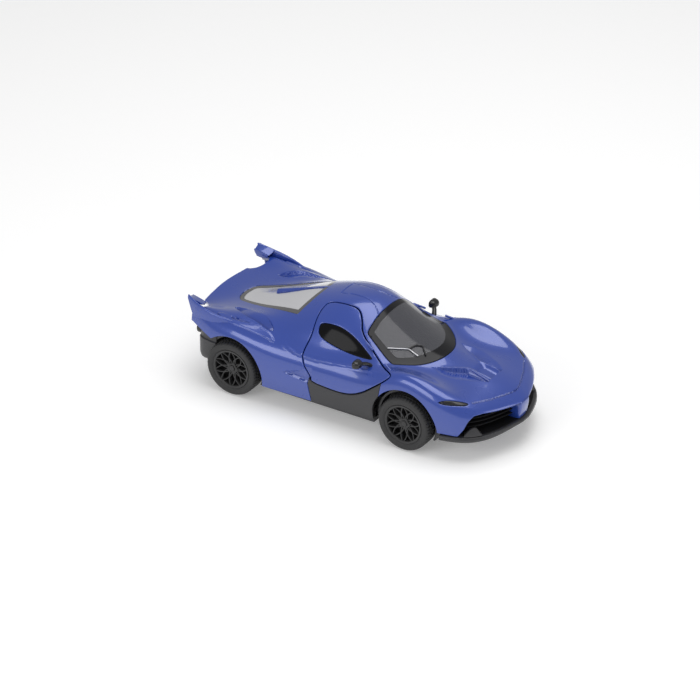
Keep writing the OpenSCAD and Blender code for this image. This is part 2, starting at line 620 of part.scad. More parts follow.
// ---- base -------------------------------------------------------------------
screw_head_r = 2;
screw_head_t = 1.2;
bearing_w = 2;
bearing_y = by(13.5);
well_r = tyre_r + 1.1;
module bearing_block(x)
    both() difference() {
        translate([x - 3, bearing_y - bearing_w / 2, base_z + base_t / 2])
            cube([6, bearing_w, tyre_r + 2.6 - base_z - base_t / 2]);
        across(x, tyre_r, axle_r + run_fit, 0, body_w);
    }
module base_plate() {
    waist = by(24.2);
    narrow = arch_inner_y - 0.8;
    difference() {
        translate([0, 0, base_z]) linear_extrude(base_t) polygon(both_sides([
            [bx(50.2), 0], [bx(50.2), narrow - 3], [front_x + arch_r + 0.6, narrow],
            [front_x - arch_r - 0.6, narrow], [front_x - arch_r - 0.6, waist],
            [rear_x + arch_r + 0.6, waist], [rear_x + arch_r + 0.6, narrow],
            [bx(-57), narrow], [bx(-57), 0]]));
        for (p = posts) translate([p[0], p[1], base_z - eps]) cylinder(r = screw_r + 0.12, h = base_t * 2);
        // window that the motor drops into
        rotate([90, 0, 0]) translate([0, 0, -motor_w / 2 - 0.15]) linear_extrude(motor_w + 0.3)
            case_outline(case_t + 0.15);
    }
}
module chassis_base() color(black) {
    difference() {
        union() {
            base_plate();
            // walls that carry the sills
            both() translate([front_x - arch_r - 0.6 - 28 * wheelbase / DRAWN_WHEELBASE, by(23.2), base_z])
                cube([28 * wheelbase / DRAWN_WHEELBASE, 1, bz(11) - base_z]);
        }
        for (p = posts) translate([p[0], p[1], base_z - eps]) cylinder(r = screw_head_r + 0.15, h = 0.5);
    }
    bearing_block(front_x);
    // half-round wheel wells
    for (x = [front_x, rear_x]) both() intersection() {
        difference() {
            across(x, tyre_r, well_r + 0.8, arch_inner_y - 0.8, by(24));
            across(x, tyre_r, well_r, arch_inner_y, body_w);
            across(x, tyre_r, axle_r + 1.2, 0, body_w);
        }
        translate([x - 20, 0, base_z + 0.2]) cube([40, body_w, 30]);
    }
}
module base_screws() color(steel) for (p = posts) translate([p[0], p[1], base_z]) difference() {
    union() {
        translate([0, 0, 0.5 - screw_head_t + 0.75]) cylinder(r = screw_head_r, h = 0.42);
        translate([0, 0, 0.4]) cylinder(r = screw_r - 0.02, h = post_z - base_z + 5);
    }
    for (a = [0, 90]) rotate(a) translate([-1.2, -0.2, -eps]) cube([2.4, 0.4, 0.3]);
}

// ---- cabin ------------------------------------------------------------------
tub_z = base_z + base_t + 0.1;
tub_t = 1.2;
tub_rear = bx(-16.5);
tub_front = bx(17.2);
tub_w = by(21);
module seat() {
    cushion = [[-6, 0], [3.6, 0], [5.2, 1.2], [5.2, 6.4], [2, 6.2], [-3.2, 5], [-5.6, 12], [-9.2, 22],
        [-10.6, 22.6], [-11.6, 21.6], [-8.4, 6]];
    for (s = [-1, 1]) translate([bx(-1), s * by(10), tub_z + tub_t - eps]) {
        translate([0, 4.6, 0]) rotate([90, 0, 0]) linear_extrude(9.2) polygon(cushion);
        for (k = [-1, 1]) translate([0, k * 4.9 + 0.8, 0]) rotate([90, 0, 0]) linear_extrude(1.6)
            polygon([[-6, 0], [4.4, 0], [4.6, 6.8], [-2.4, 7.6], [-6.8, 19], [-9, 19.4], [-8.4, 6]]);
    }
}
module interior_tub() color(black) {
    translate([tub_rear, -tub_w, tub_z]) cube([tub_front - tub_rear, 2 * tub_w, tub_t]);
    both() translate([tub_rear, tub_w - 1, tub_z]) cube([tub_front - tub_rear, 1, bz(15) - tub_z]);
    translate([tub_rear - 1, -by(17), tub_z]) cube([1.2, 2 * by(17), bz(30) - tub_z]);
    seat();
    // tunnel between the seats
    translate([tub_rear, -by(2.4), tub_z]) cube([tub_front - tub_rear, 2 * by(2.4), 6.4]);
}
dash_rear = bx(16);
dash_z = bz(24.6);
column_y = by(9.6);
column_z = bz(22);
module dashboard() color(black) difference() {
    union() {
        translate([tub_front + 0.2, 0, 0]) rotate([90, 0, 0]) translate([0, 0, -by(14)])
            linear_extrude(2 * by(14)) polygon([[0, tub_z], [0, dash_z - 5], [-2, dash_z - 3], [-1.4, dash_z - 0.6],
                [1.6, dash_z], [6, dash_z - 2], [6.6, dash_z - 5], [2, dash_z - 7], [1.4, tub_z]]);
        translate([dash_rear - 3, column_y, column_z]) rotate([0, 60, 0]) cylinder(r = 1.2, h = 4);
    }
    translate([dash_rear - 3, column_y, column_z]) rotate([0, 60, 0]) translate([0, 0, -3])
        cylinder(r = 0.5, h = 5.5);
}
wheel_tilt = 60;
module steering_wheel() color(black)
    translate([dash_rear - 3, column_y, column_z]) rotate([0, wheel_tilt, 0]) {
        translate([0, 0, -1.6]) rotate_extrude() translate([3.6, 0]) circle(r = 0.55, $fn = 24);
        translate([0, 0, -2.1]) cylinder(r = 1, h = 1.9);
        for (a = [90, 210, 330]) rotate(a) translate([0, -0.4, -2]) cube([3.6, 0.8, 0.7]);
        translate([0, 0, -0.6]) cylinder(r = 0.48, h = 2.8);
    }

// ---- pull-back motor --------------------------------------------------------
// The drum's gear drives the middle gear's pinion, and its large wheel drives the gear on
// the rear axle.
pinion_r = gear_m * pinion_teeth / 2;
idler_r = gear_m * idler_teeth / 2;
drum_r = gear_m * drum_teeth / 2;
idler_angle = 27;
drum_angle = 4;
idler_at = [rear_x + (pinion_r + idler_r) * cos(idler_angle), tyre_r + (pinion_r + idler_r) * sin(idler_angle)];
drum_at = idler_at + (pinion_r + drum_r) * [cos(drum_angle), sin(drum_angle)];
pin_r = 0.75;
tooth_top = 0.7;
tooth_foot = 1.0;
tooth_share = 0.42;
pressure = 20;

// Angle of an involute at radius r, in degrees, for the base circle rb
function involute(rb, r) = let (a = acos(min(1, rb / r))) tan(a) * 180 / PI - a;
function tooth(n, m, k) =
    let (rp = m * n / 2, rb = rp * cos(pressure), ra = rp + tooth_top * m, rf = rp - tooth_foot * m,
         half = 360 / n * tooth_share / 2 + involute(rb, rp), r0 = max(rb, rf), c = k * 360 / n,
         flank = [for (i = [0:4]) let (r = r0 + (ra - r0) * i / 4) [r, half - involute(rb, r)]])
    concat([[rf, c - half - 1]], [for (f = flank) [f[0], c - f[1]]],
           [for (i = [4:-1:0]) [flank[i][0], c + flank[i][1]]], [[rf, c + half + 1]]);
module gear(n, w, turn = 0)
    rotate([90, 0, 0]) translate([0, 0, -w / 2]) linear_extrude(w) rotate(turn)
        polygon([for (k = [0:n - 1]) for (q = tooth(n, gear_m, k)) q[0] * [cos(q[1]), sin(q[1])]]);
// Turn that puts a gap of the second gear where the first gear's tooth points
function mesh_turn(n1, turn1, n2, dir) =
    let (phase = (dir - turn1) / (360 / n1), frac = phase - floor(phase))
    dir + 180 + 360 / n2 * (0.5 + frac);

big_y = -3.2;
small_y = 1.6;
big_w = 2;
small_w = 3;
idler_turn = mesh_turn(pinion_teeth, 0, idler_teeth, idler_angle);
drum_turn = mesh_turn(pinion_teeth, idler_turn, drum_teeth, drum_angle);
module axle_gear() color(silver) translate([rear_x, big_y, tyre_r]) difference() {
    union() {
        gear(pinion_teeth, big_w + 0.4);
        rotate([90, 0, 0]) translate([0, 0, -3.6]) cylinder(r = 1.8, h = 3);
    }
    rotate([90, 0, 0]) translate([0, 0, -10]) cylinder(r = axle_r, h = 20);
}
module idler_gear() color([0.86, 0.83, 0.72]) translate([idler_at[0], 0, idler_at[1]]) difference() {
    union() {
        translate([0, big_y, 0]) gear(idler_teeth, big_w, idler_turn);
        translate([0, small_y - 0.6, 0]) gear(pinion_teeth, small_w + 1, idler_turn);
        rotate([90, 0, 0]) translate([0, 0, -1]) cylinder(r = pinion_r - 0.8, h = 4);
    }
    rotate([90, 0, 0]) translate([0, 0, -20]) cylinder(r = pin_r + run_fit, h = 40);
}
module idler_pin() color(steel)
    translate([idler_at[0], motor_w / 2 - case_t / 2, idler_at[1]]) rotate([90, 0, 0])
        cylinder(r = pin_r, h = motor_w - case_t);
drum_in = drum_r - 1.5;
drum_y0 = small_y - small_w / 2;
drum_y1 = motor_w / 2 - case_t - 0.3;
module spring_drum() color([0.86, 0.83, 0.72]) translate([drum_at[0], 0, drum_at[1]]) difference() {
    union() {
        translate([0, small_y, 0]) gear(drum_teeth, small_w, drum_turn);
        across(0, 0, drum_r - 0.8, drum_y0, drum_y1);
    }
    across(0, 0, drum_in, drum_y0 + 0.8, drum_y1 + 1);
    across(0, 0, pin_r + run_fit, -motor_w, motor_w);
}
// Flat spiral that hooks to the drum's wall
spring_t = 0.22;
spring_turns = 6;
spring_r0 = pin_r + 0.55;
spring_steps = spring_turns * 24;
function spiral(a, off) =
    (spring_r0 + off + (drum_in - spring_r0 - spring_t) * a / (360 * spring_turns)) * [cos(a), sin(a)];
module mainspring() color(steel)
    translate([drum_at[0], drum_y1 - 0.3, drum_at[1]]) rotate([90, 0, 0])
        linear_extrude(drum_y1 - drum_y0 - 1.3) polygon(concat(
            [for (i = [0:spring_steps]) spiral(i * 15, 0)],
            [for (i = [spring_steps:-1:0]) spiral(i * 15, spring_t)]));
module spring_arbor() color(steel)
    translate([drum_at[0], motor_w / 2 - case_t / 2, drum_at[1]]) rotate([90, 0, 0])
        cylinder(r = pin_r, h = motor_w - case_t);

CASE = [[rear_x, tyre_r, pinion_r + 0.9], [idler_at[0], idler_at[1], idler_r + 1.2],
    [drum_at[0], drum_at[1], drum_r + 1.2]];
module case_outline(grow)
    hull() for (c = CASE) translate([c[0], c[1]]) circle(r = c[2] + grow, $fn = 48);
module case_half(side) {
    y0 = side > 0 ? 0.05 : -motor_w / 2;
    difference() {
        translate([0, side > 0 ? motor_w / 2 : -0.05, 0]) rotate([90, 0, 0])
            linear_extrude(motor_w / 2 - 0.05) case_outline(case_t);
        translate([0, side > 0 ? motor_w / 2 - case_t : 1, 0]) rotate([90, 0, 0])
            linear_extrude(motor_w / 2 - case_t + 1) case_outline(0);
        across(rear_x, tyre_r, axle_r + run_fit, -motor_w, motor_w);
        for (c = [idler_at, drum_at]) across(c[0], c[1], pin_r, -motor_w, motor_w);
    }
}
module motor_case() color(grey) case_half(1);
module motor_cover() color(grey) case_half(-1);

// ---- wheels and axles -------------------------------------------------------
module front_axle() color(steel) axle(front_x);
module rear_axle() color(steel) axle(rear_x);
module front_left_rim() color(black) at_wheel(front_x, 1) rim_part();
module front_right_rim() color(black) at_wheel(front_x, -1) rim_part();
module rear_left_rim() color(black) at_wheel(rear_x, 1) rim_part();
module rear_right_rim() color(black) at_wheel(rear_x, -1) rim_part();
module front_left_tyre() color(grey) at_wheel(front_x, 1) tyre_part();
module front_right_tyre() color(grey) at_wheel(front_x, -1) tyre_part();
module rear_left_tyre() color(grey) at_wheel(rear_x, 1) tyre_part();
module rear_right_tyre() color(grey) at_wheel(rear_x, -1) tyre_part();

body_shell();
door_left();
door_right();
mirror_left();
mirror_right();
door_hinge_pins();
windscreen();
rear_window();
headlight_left();
headlight_right();
front_bumper();
rear_bumper();
sill_left();
sill_right();
tail_lamp_left();
tail_lamp_right();
exhaust_tips();
chassis_base();
interior_tub();
dashboard();
steering_wheel();
front_axle();
rear_axle();
front_left_rim();
front_right_rim();
rear_left_rim();
rear_right_rim();
front_left_tyre();
front_right_tyre();
rear_left_tyre();
rear_right_tyre();
motor_case();
motor_cover();
axle_gear();
idler_gear();
idler_pin();
spring_drum();
mainspring();
spring_arbor();
base_screws();
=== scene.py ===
# %% [markdown]
# # A blue pull-back sports car
#
# The real thing is a small die-cast car, 13 cm long. Its body is one metal casting with two
# doors that swing up, and everything dark on it is a moulded plastic part pushed into that
# casting. The frame loaded here holds those parts, their joints and their exact sizes. This
# lesson gives them their final surfaces and finishes.

# %% Load the frame
import json
import math
import bpy
import numpy as np
from mathutils import Matrix, Vector

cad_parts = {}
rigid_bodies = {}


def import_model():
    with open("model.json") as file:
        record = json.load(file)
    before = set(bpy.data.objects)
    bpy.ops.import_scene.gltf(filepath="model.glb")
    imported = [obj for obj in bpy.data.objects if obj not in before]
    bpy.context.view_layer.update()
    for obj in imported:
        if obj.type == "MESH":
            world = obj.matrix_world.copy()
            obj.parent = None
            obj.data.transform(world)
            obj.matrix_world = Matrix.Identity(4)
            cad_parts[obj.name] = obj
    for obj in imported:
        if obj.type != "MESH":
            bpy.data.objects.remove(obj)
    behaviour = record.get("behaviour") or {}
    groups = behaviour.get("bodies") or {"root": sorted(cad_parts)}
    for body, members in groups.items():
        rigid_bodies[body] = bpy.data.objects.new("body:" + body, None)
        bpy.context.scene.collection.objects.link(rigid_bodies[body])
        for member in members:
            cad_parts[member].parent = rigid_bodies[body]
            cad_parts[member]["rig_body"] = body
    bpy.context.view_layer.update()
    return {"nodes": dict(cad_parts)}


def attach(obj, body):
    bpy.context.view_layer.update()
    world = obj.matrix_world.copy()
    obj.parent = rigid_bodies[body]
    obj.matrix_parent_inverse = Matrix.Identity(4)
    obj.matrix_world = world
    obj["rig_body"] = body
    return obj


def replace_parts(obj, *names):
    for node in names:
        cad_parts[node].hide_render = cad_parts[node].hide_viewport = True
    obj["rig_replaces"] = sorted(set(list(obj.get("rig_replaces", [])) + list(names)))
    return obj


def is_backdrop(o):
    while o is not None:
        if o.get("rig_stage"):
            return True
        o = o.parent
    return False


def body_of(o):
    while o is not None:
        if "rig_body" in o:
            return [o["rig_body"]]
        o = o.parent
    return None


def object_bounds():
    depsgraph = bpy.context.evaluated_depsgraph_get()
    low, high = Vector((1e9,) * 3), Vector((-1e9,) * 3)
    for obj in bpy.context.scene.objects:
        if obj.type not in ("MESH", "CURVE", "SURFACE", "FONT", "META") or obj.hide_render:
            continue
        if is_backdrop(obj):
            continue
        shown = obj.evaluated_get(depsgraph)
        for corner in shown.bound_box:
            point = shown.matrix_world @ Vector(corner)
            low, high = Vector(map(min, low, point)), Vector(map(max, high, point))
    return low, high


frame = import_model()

MM = 0.001

# %% [markdown]
# ## Camera
#
# A photographer would stand far back with a long lens, so that a toy doesn't look as wide at
# the front as a real car does in a close view. The camera looks from the right front, 30
# degrees above the table, from almost two metres away.

# %% Place the camera
AZIMUTH = math.radians(32.27)
ELEVATION = math.radians(29.99)
DISTANCE = 1905
LENS = 267.8
AIM = (-7, 0, 15)
SHIFT_RIGHT, SHIFT_UP = 2.266, 1.587
back = Vector((math.sin(AZIMUTH) * math.cos(ELEVATION),
               -math.cos(AZIMUTH) * math.cos(ELEVATION), math.sin(ELEVATION)))
right = Vector((math.cos(AZIMUTH), math.sin(AZIMUTH), 0))
up = back.cross(right)
eye = (Vector(AIM) + DISTANCE * back - SHIFT_RIGHT * right + SHIFT_UP * up) * MM
camera = bpy.data.objects.new("camera", bpy.data.cameras.new("camera"))
camera.data.lens = LENS
camera.data.sensor_width = 36
camera.data.clip_start = 0.1
camera.matrix_world = Matrix.Translation(eye) @ Matrix((right, up, back)).transposed().to_4x4()
bpy.context.scene.collection.objects.link(camera)
bpy.context.scene.camera = camera
print("camera at", [round(c, 3) for c in eye])

# %% [markdown]
# ## The body's surface
#
# A car body is drawn as stations, which are cross-sections along its length. The frame's
# body runs a cubic B-spline surface through eighteen of them. The same stations are repeated
# here, but evaluated far more finely, so paint reflects from a smooth skin rather than from
# facets. Each point of the surface has two numbers: u counts stations from tail to nose, and
# v counts lines from the centre of the roof out to the sill. Only the left half is worked
# out, because the right half is its mirror image.

# %% The stations, in millimetres
STATIONS = [
    [-62.5, [[0, 28.2], [4.5, 28.1], [9, 27.9], [13.5, 27.8], [18, 28],
             [21.8, 29.3], [24.1, 28.5], [25, 24.5], [25.2, 18], [24.6, 9]]],
    [-58, [[0, 26.9], [4.5, 26.9], [9, 27.1], [13.5, 27.6], [17.8, 28.5],
           [22, 30], [25, 28.3], [26.2, 24], [26.5, 17], [25.6, 8.5]]],
    [-51, [[0, 27.7], [4.5, 27.4], [9, 27.7], [13.5, 28.4], [17.8, 29.3],
           [22.2, 29.6], [25.8, 27.4], [27.6, 23.2], [27.8, 16], [26.6, 8]]],
    [-43, [[0, 30.5], [4.5, 29.7], [9, 29.2], [13.5, 29.4], [17.8, 30.3],
           [22.2, 29.4], [26, 27.2], [28, 23], [28.2, 15.5], [27, 7.6]]],
    [-34, [[0, 34.1], [4.5, 33.4], [9, 32.4], [13.5, 31.3], [17.8, 30.7],
           [22, 28.6], [25.8, 26], [27.9, 22], [28.2, 15], [27, 7.5]]],
    [-25, [[0, 37.9], [4.5, 37.4], [9, 36.1], [13.5, 33.8], [17.8, 31.3],
           [21.6, 28.3], [25.2, 25.2], [27.5, 21], [27.8, 14.5], [26.8, 7.5]]],
    [-15, [[0, 41], [4.5, 40.6], [9, 39.3], [14, 36.6], [18.2, 32.8],
           [21.4, 28.5], [24.9, 24.8], [27.1, 20.6], [27.3, 14.3], [26.5, 7.5]]],
    [-6, [[0, 42.5], [4.5, 42.2], [9, 41.1], [14.2, 37.9], [18.4, 33.5],
          [21.3, 28.6], [24.7, 24.9], [27, 20.4], [27.2, 14.3], [26.3, 7.5]]],
    [2, [[0, 42.2], [4.5, 41.8], [9, 40.4], [14, 36.9], [18, 32.6],
         [21, 28.4], [24.6, 25], [26.9, 20.4], [27.1, 14.3], [26.2, 7.6]]],
    [10, [[0, 39.2], [4.5, 38.6], [9, 37], [14, 33.6], [18, 31],
          [21, 28], [24.4, 25.2], [26.8, 20.6], [27, 14.4], [26.1, 7.7]]],
    [18, [[0, 35], [4.5, 34.4], [9, 32.8], [13.8, 30.4], [18, 28.4],
          [21.5, 27.6], [24.8, 26], [26.9, 21.2], [27.1, 14.6], [26.1, 8]]],
    [26, [[0, 30.8], [4.5, 30.2], [9, 28.9], [13.6, 27.6], [18, 27.6],
          [22, 29], [25.4, 27.8], [27.1, 22.4], [27.3, 15], [26.2, 8.4]]],
    [34, [[0, 27.6], [4.5, 27.3], [9, 26.4], [13.6, 26], [18, 27],
          [22, 28.8], [25.4, 27.6], [27.1, 22.6], [27.3, 15.4], [26.3, 8.9]]],
    [42, [[0, 26.5], [4.5, 26.2], [9, 25.4], [13.6, 25], [18, 25.6],
          [21.8, 26.6], [25, 25.4], [26.8, 21.4], [27, 15.4], [26, 9.5]]],
    [50, [[0, 25.2], [4.5, 25], [9, 24.4], [13.6, 24], [17.6, 23.8],
          [20.6, 23.6], [23.2, 22.4], [24.8, 19.4], [25.2, 15], [24.6, 10]]],
    [57, [[0, 23.2], [4, 23], [7.5, 22.6], [11, 22.1], [14.2, 21.6],
          [16.8, 20.9], [18.8, 19.8], [20.2, 17.9], [20.8, 14.6], [20.6, 10.3]]],
    [62, [[0, 20.9], [2.4, 20.8], [4.6, 20.5], [6.6, 20.2], [8.2, 19.8],
          [9.6, 19.3], [10.6, 18.6], [11.2, 17.2], [11.6, 14.4], [11.4, 10.7]]],
    [64.8, [[0, 18.9], [0.6, 18.9], [1.2, 18.85], [1.8, 18.8], [2.2, 18.7],
            [2.5, 18.5], [2.7, 18.1], [2.8, 17], [2.9, 14.4], [2.8, 11]]],
]
print(len(STATIONS), "stations of", len(STATIONS[0][1]), "points")

# %% A smooth surface through them
FRONT_AXLE, REAR_AXLE, AXLE_Z = 30, -44, 10.6
# The deck's rear edge is an arc, so the last station bends back towards the centre line.
TAIL_BULGE = [2.2, 2.1, 1.8, 1.3, 0.6, 0.1]
MIRROR = np.array([1, -1, 1])


def with_ends(points, folded):
    """One more row at each end: a mirror image at the centre line, or a straight run on."""
    first = points[1] * MIRROR if folded else 2 * points[0] - points[1]
    return np.concatenate([first[None], points, (2 * points[-1] - points[-2])[None]])


def control_points(points, folded):
    """Moves the drawn points out until the averaging spline runs through them again."""
    moved = points.copy()
    for _ in range(2):
        row = with_ends(moved, folded)
        moved = moved + points - (row[:-2] + 4 * row[1:-1] + row[2:]) / 6
    return moved


drawn = np.array([[(x, y, z) for y, z in row] for x, row in STATIONS], float)
drawn[0, :6, 0] -= TAIL_BULGE
net = control_points(drawn, False)
net = control_points(net.swapaxes(0, 1), True).swapaxes(0, 1)
net = with_ends(net, False)
net = with_ends(net.swapaxes(0, 1), True).swapaxes(0, 1)
SPANS_U, SPANS_V = drawn.shape[0] - 1, drawn.shape[1] - 1


def weights(t):
    return np.stack([(1 - t) ** 3, 3 * t ** 3 - 6 * t ** 2 + 4,
                     -3 * t ** 3 + 3 * t ** 2 + 3 * t + 1, t ** 3], 1) / 6


def slopes(t):
    return np.stack([-(1 - t) ** 2, 3 * t ** 2 - 4 * t, -3 * t ** 2 + 2 * t + 1, t ** 2], 1) / 2


def unit(v):
    return v / np.maximum(np.linalg.norm(v, axis=-1, keepdims=True), 1e-12)


def on_body(uv):
    """Points of the body's skin, in millimetres, and their outward directions."""
    i = np.clip(uv[:, 0].astype(int), 0, SPANS_U - 1)
    j = np.clip(uv[:, 1].astype(int), 0, SPANS_V - 1)
    s, t = uv[:, 0] - i, uv[:, 1] - j
    four = np.arange(4)
    near = net[(i[:, None] + four)[:, :, None], (j[:, None] + four)[:, None, :]]
    point = np.einsum("na,nb,nabk->nk", weights(s), weights(t), near)
    along = np.einsum("na,nb,nabk->nk", slopes(s), weights(t), near)
    around = np.einsum("na,nb,nabk->nk", weights(s), slopes(t), near)
    return point, unit(np.cross(along, around))


print("length", drawn[:, 0, 0].min(), "to", drawn[:, 0, 0].max(), "mm")

# %% [markdown]
# ## Cutting panels out of one skin
#
# The doors, the glass, the lamps and the body all continue one surface, and the eye sees at
# once if they don't line up. Boolean cuts on such a fine mesh leave ragged edges and bad
# shading. Instead every outline is a distance field: a function that says how far a point is
# from the outline, negative inside. A mesh is scored along any distance by splitting the
# triangles that cross it, and each panel then keeps the triangles on its own side. Extra
# scores close to an edge carry the small rolled radius that a cast or painted edge has.

# %% Outlines and their distance fields
LEAN = math.radians(35)
GAP = 0.4
TRIM_GAP = 0.08
ARCH_R = 13.5
ARCH_INNER_Y = 17.4


def rounded(points, passes=3):
    """Corner cutting, which rounds a closed outline a little more with each pass."""
    line = np.array(points, float)
    for _ in range(passes):
        after = np.roll(line, -1, 0)
        line = np.stack([0.75 * line + 0.25 * after, 0.25 * line + 0.75 * after], 1).reshape(-1, 2)
    return line


def segment_distance(p, a, b):
    along = b - a
    t = np.clip(((p - a) @ along) / max(along @ along, 1e-12), 0, 1)
    return np.linalg.norm(p - a - t[:, None] * along, axis=1)


def line_distance(p, line, reach=4.0):
    """Distance to an open line, for the points near it."""
    line = np.array(line, float)
    out = np.full(len(p), reach)
    near = ((p > line.min(0) - reach) & (p < line.max(0) + reach)).all(1)
    q = p[near]
    d = np.full(len(q), reach)
    for a, b in zip(line[:-1], line[1:]):
        d = np.minimum(d, segment_distance(q, a, b))
    out[near] = d
    return out


def outline_distance(p, line, reach=4.0):
    """Signed distance to a closed outline, negative inside."""
    out = np.full(len(p), reach)
    near = ((p > line.min(0) - reach) & (p < line.max(0) + reach)).all(1)
    q = p[near]
    d = np.full(len(q), 1e9)
    inside = np.zeros(len(q), bool)
    for a, b in zip(line, np.roll(line, -1, 0)):
        d = np.minimum(d, segment_distance(q, a, b))
        if a[1] != b[1]:
            crosses = (a[1] > q[:, 1]) != (b[1] > q[:, 1])
            inside ^= crosses & (q[:, 0] < a[0] + (q[:, 1] - a[1]) * (b[0] - a[0]) / (b[1] - a[1]))
    out[near] = np.minimum(np.where(inside, -d, d), reach)
    return out


def side_view(p):
    """Square to a plane that leans back, as the doors do."""
    return np.stack([p[:, 0], math.cos(LEAN) * p[:, 2] - math.sin(LEAN) * p[:, 1]], 1)


def plan_view(p):
    return p[:, :2]


def flank_view(p):
    return p[:, [0, 2]]


def both_sides(points):
    return points + [[x, -y] for x, y in reversed(points) if abs(y) > 0.01]


print("arches of", ARCH_R, "mm radius, gaps of", GAP, "mm")

# %% The outlines of this car
DOOR = rounded(side_view(np.array([
    [-12.6, 9.2, 40.1], [-6, 9, 41.1], [0.2, 9, 40.9], [3.2, 12, 38.3], [4.8, 15, 35.2],
    [10.4, 17.6, 31.5], [17.1, 21.2, 28], [23.4, 24.4, 27.9], [22.7, 25.5, 26.4],
    [17.6, 26.6, 22.2], [11.8, 27.1, 17.6], [5.8, 27.1, 15.3], [-1, 27.1, 15.2],
    [-9.6, 27.2, 16], [-10.8, 27.2, 19.2], [-12.8, 26.6, 22], [-14.4, 24.8, 24.9],
    [-14.4, 22.8, 27], [-13.5, 19.6, 31.2], [-14.1, 15.6, 35.4], [-14, 12, 38.3]])))
DOOR_WINDOW = rounded(side_view(np.array([
    [-11.4, 16.6, 35.1], [-7.9, 16.4, 35.7], [-3, 16.4, 35.7], [1.5, 16.9, 34.4],
    [6.2, 17.9, 32.2], [10, 19.1, 30.1], [13.2, 20.3, 28.6], [8, 20.8, 28.4], [2, 20.9, 28.7],
    [-3.4, 20.7, 29.5], [-8.1, 20.3, 30.5], [-11, 19.5, 31.6], [-11.8, 17.8, 33.8]])))
SILL = np.array([[-9.5, 6], [-10.8, 15], [-10, 18], [6, 21], [17, 25], [20, 24.4], [17.6, 6]])
WINDSCREEN = rounded(both_sides([
    [7.4, 0], [7.2, 5], [6.8, 10], [6.5, 13.4], [6.8, 14.3], [7.8, 14.6], [13, 16.1],
    [18.8, 18], [20.3, 18.1], [21.4, 17.4], [24, 15.7], [27.6, 12.7], [31, 8], [32.8, 3.5], [33.1, 0]]))
REAR_GLASS = rounded(both_sides([
    [-18.4, 0], [-18.8, 4], [-20.4, 9], [-22.6, 13.4], [-23.2, 14.4], [-24.4, 14.2],
    [-33, 12.3], [-42, 9.9], [-50, 7.6], [-53.4, 6.6], [-55.1, 4.4], [-55.7, 2], [-55.8, 0]]))
SPINE = rounded(both_sides([
    [-17, 0.5], [-24, 0.6], [-33, 0.85], [-39.8, 1.15], [-41, 0.7], [-41.1, 0]]))
HEADLIGHT = rounded([
    [43.1, 26.2], [45.4, 24.6], [48.6, 22.2], [51.4, 19.9], [53, 19.3], [52.4, 21.2], [47.8, 24.7]])
LOWER_FRONT = np.array([
    [41, 5], [41, 10.7], [51.2, 10.7], [53.3, 13.8], [54.6, 17], [55.9, 19], [58, 19.3],
    [63.7, 18.4], [67, 18.3], [67, 5]])
TAIL_NOTCH = np.array([[-67, 13.6], [-63, 14.4], [-61, 16.2], [-59.4, 18.4], [-58.6, 20.4],
                       [-59.2, 21.8], [-67, 22.2]])
TAIL_CORNER = np.array([[-51.3, 20.9], [-62, 24.6], [-68, 24.6], [-68, 18], [-51.3, 18]])


def door(p):
    return outline_distance(side_view(p), DOOR)


def door_window(p):
    return outline_distance(side_view(p), DOOR_WINDOW)


def sill(p):
    return np.maximum(outline_distance(flank_view(p), SILL), 16 - p[:, 1])


def windscreen(p):
    return outline_distance(plan_view(p), WINDSCREEN)


def rear_glass(p):
    return outline_distance(plan_view(p), REAR_GLASS)


def spine(p):
    return outline_distance(plan_view(p), SPINE)


def headlight(p):
    return np.maximum(outline_distance(plan_view(p), HEADLIGHT), 18 - p[:, 2])


def lower_front(p):
    return outline_distance(flank_view(p), LOWER_FRONT)


def arches(p):
    wheels = [np.hypot(p[:, 0] - x, p[:, 2] - AXLE_Z) - ARCH_R for x in (FRONT_AXLE, REAR_AXLE)]
    return np.maximum(np.minimum(*wheels), ARCH_INNER_Y - p[:, 1])


def tail_notch(p):
    return np.maximum(outline_distance(plan_view(p), TAIL_NOTCH), 20 - p[:, 2])


def tail_opening(p):
    below = np.maximum(p[:, 0] + 51.2, p[:, 2] - 21)
    corner = np.maximum(outline_distance(flank_view(p), TAIL_CORNER), 10 - p[:, 1])
    return np.minimum(below, corner)


print("door outline:", len(DOOR), "points")

# %% Scoring a mesh along a distance
GRID_STEP = 0.5
SNAP = 0.02


def skin_grid():
    """A fine triangle grid over the left half of the skin."""
    us = [0.0]
    for i, step in enumerate(np.diff(drawn[:, 0, 0])):
        n = max(4, round(step / GRID_STEP))
        us += [i + k / n for k in range(1, n + 1)]
    vs = np.linspace(0, SPANS_V, SPANS_V * 10 + 1)
    uv = np.array([(u, v) for u in us for v in vs])
    a = (np.arange(len(us) - 1)[:, None] * len(vs) + np.arange(len(vs) - 1)).ravel()
    b, c, d = a + len(vs), a + len(vs) + 1, a + 1
    return uv, np.concatenate([np.stack([a, b, c], 1), np.stack([a, c, d], 1)])


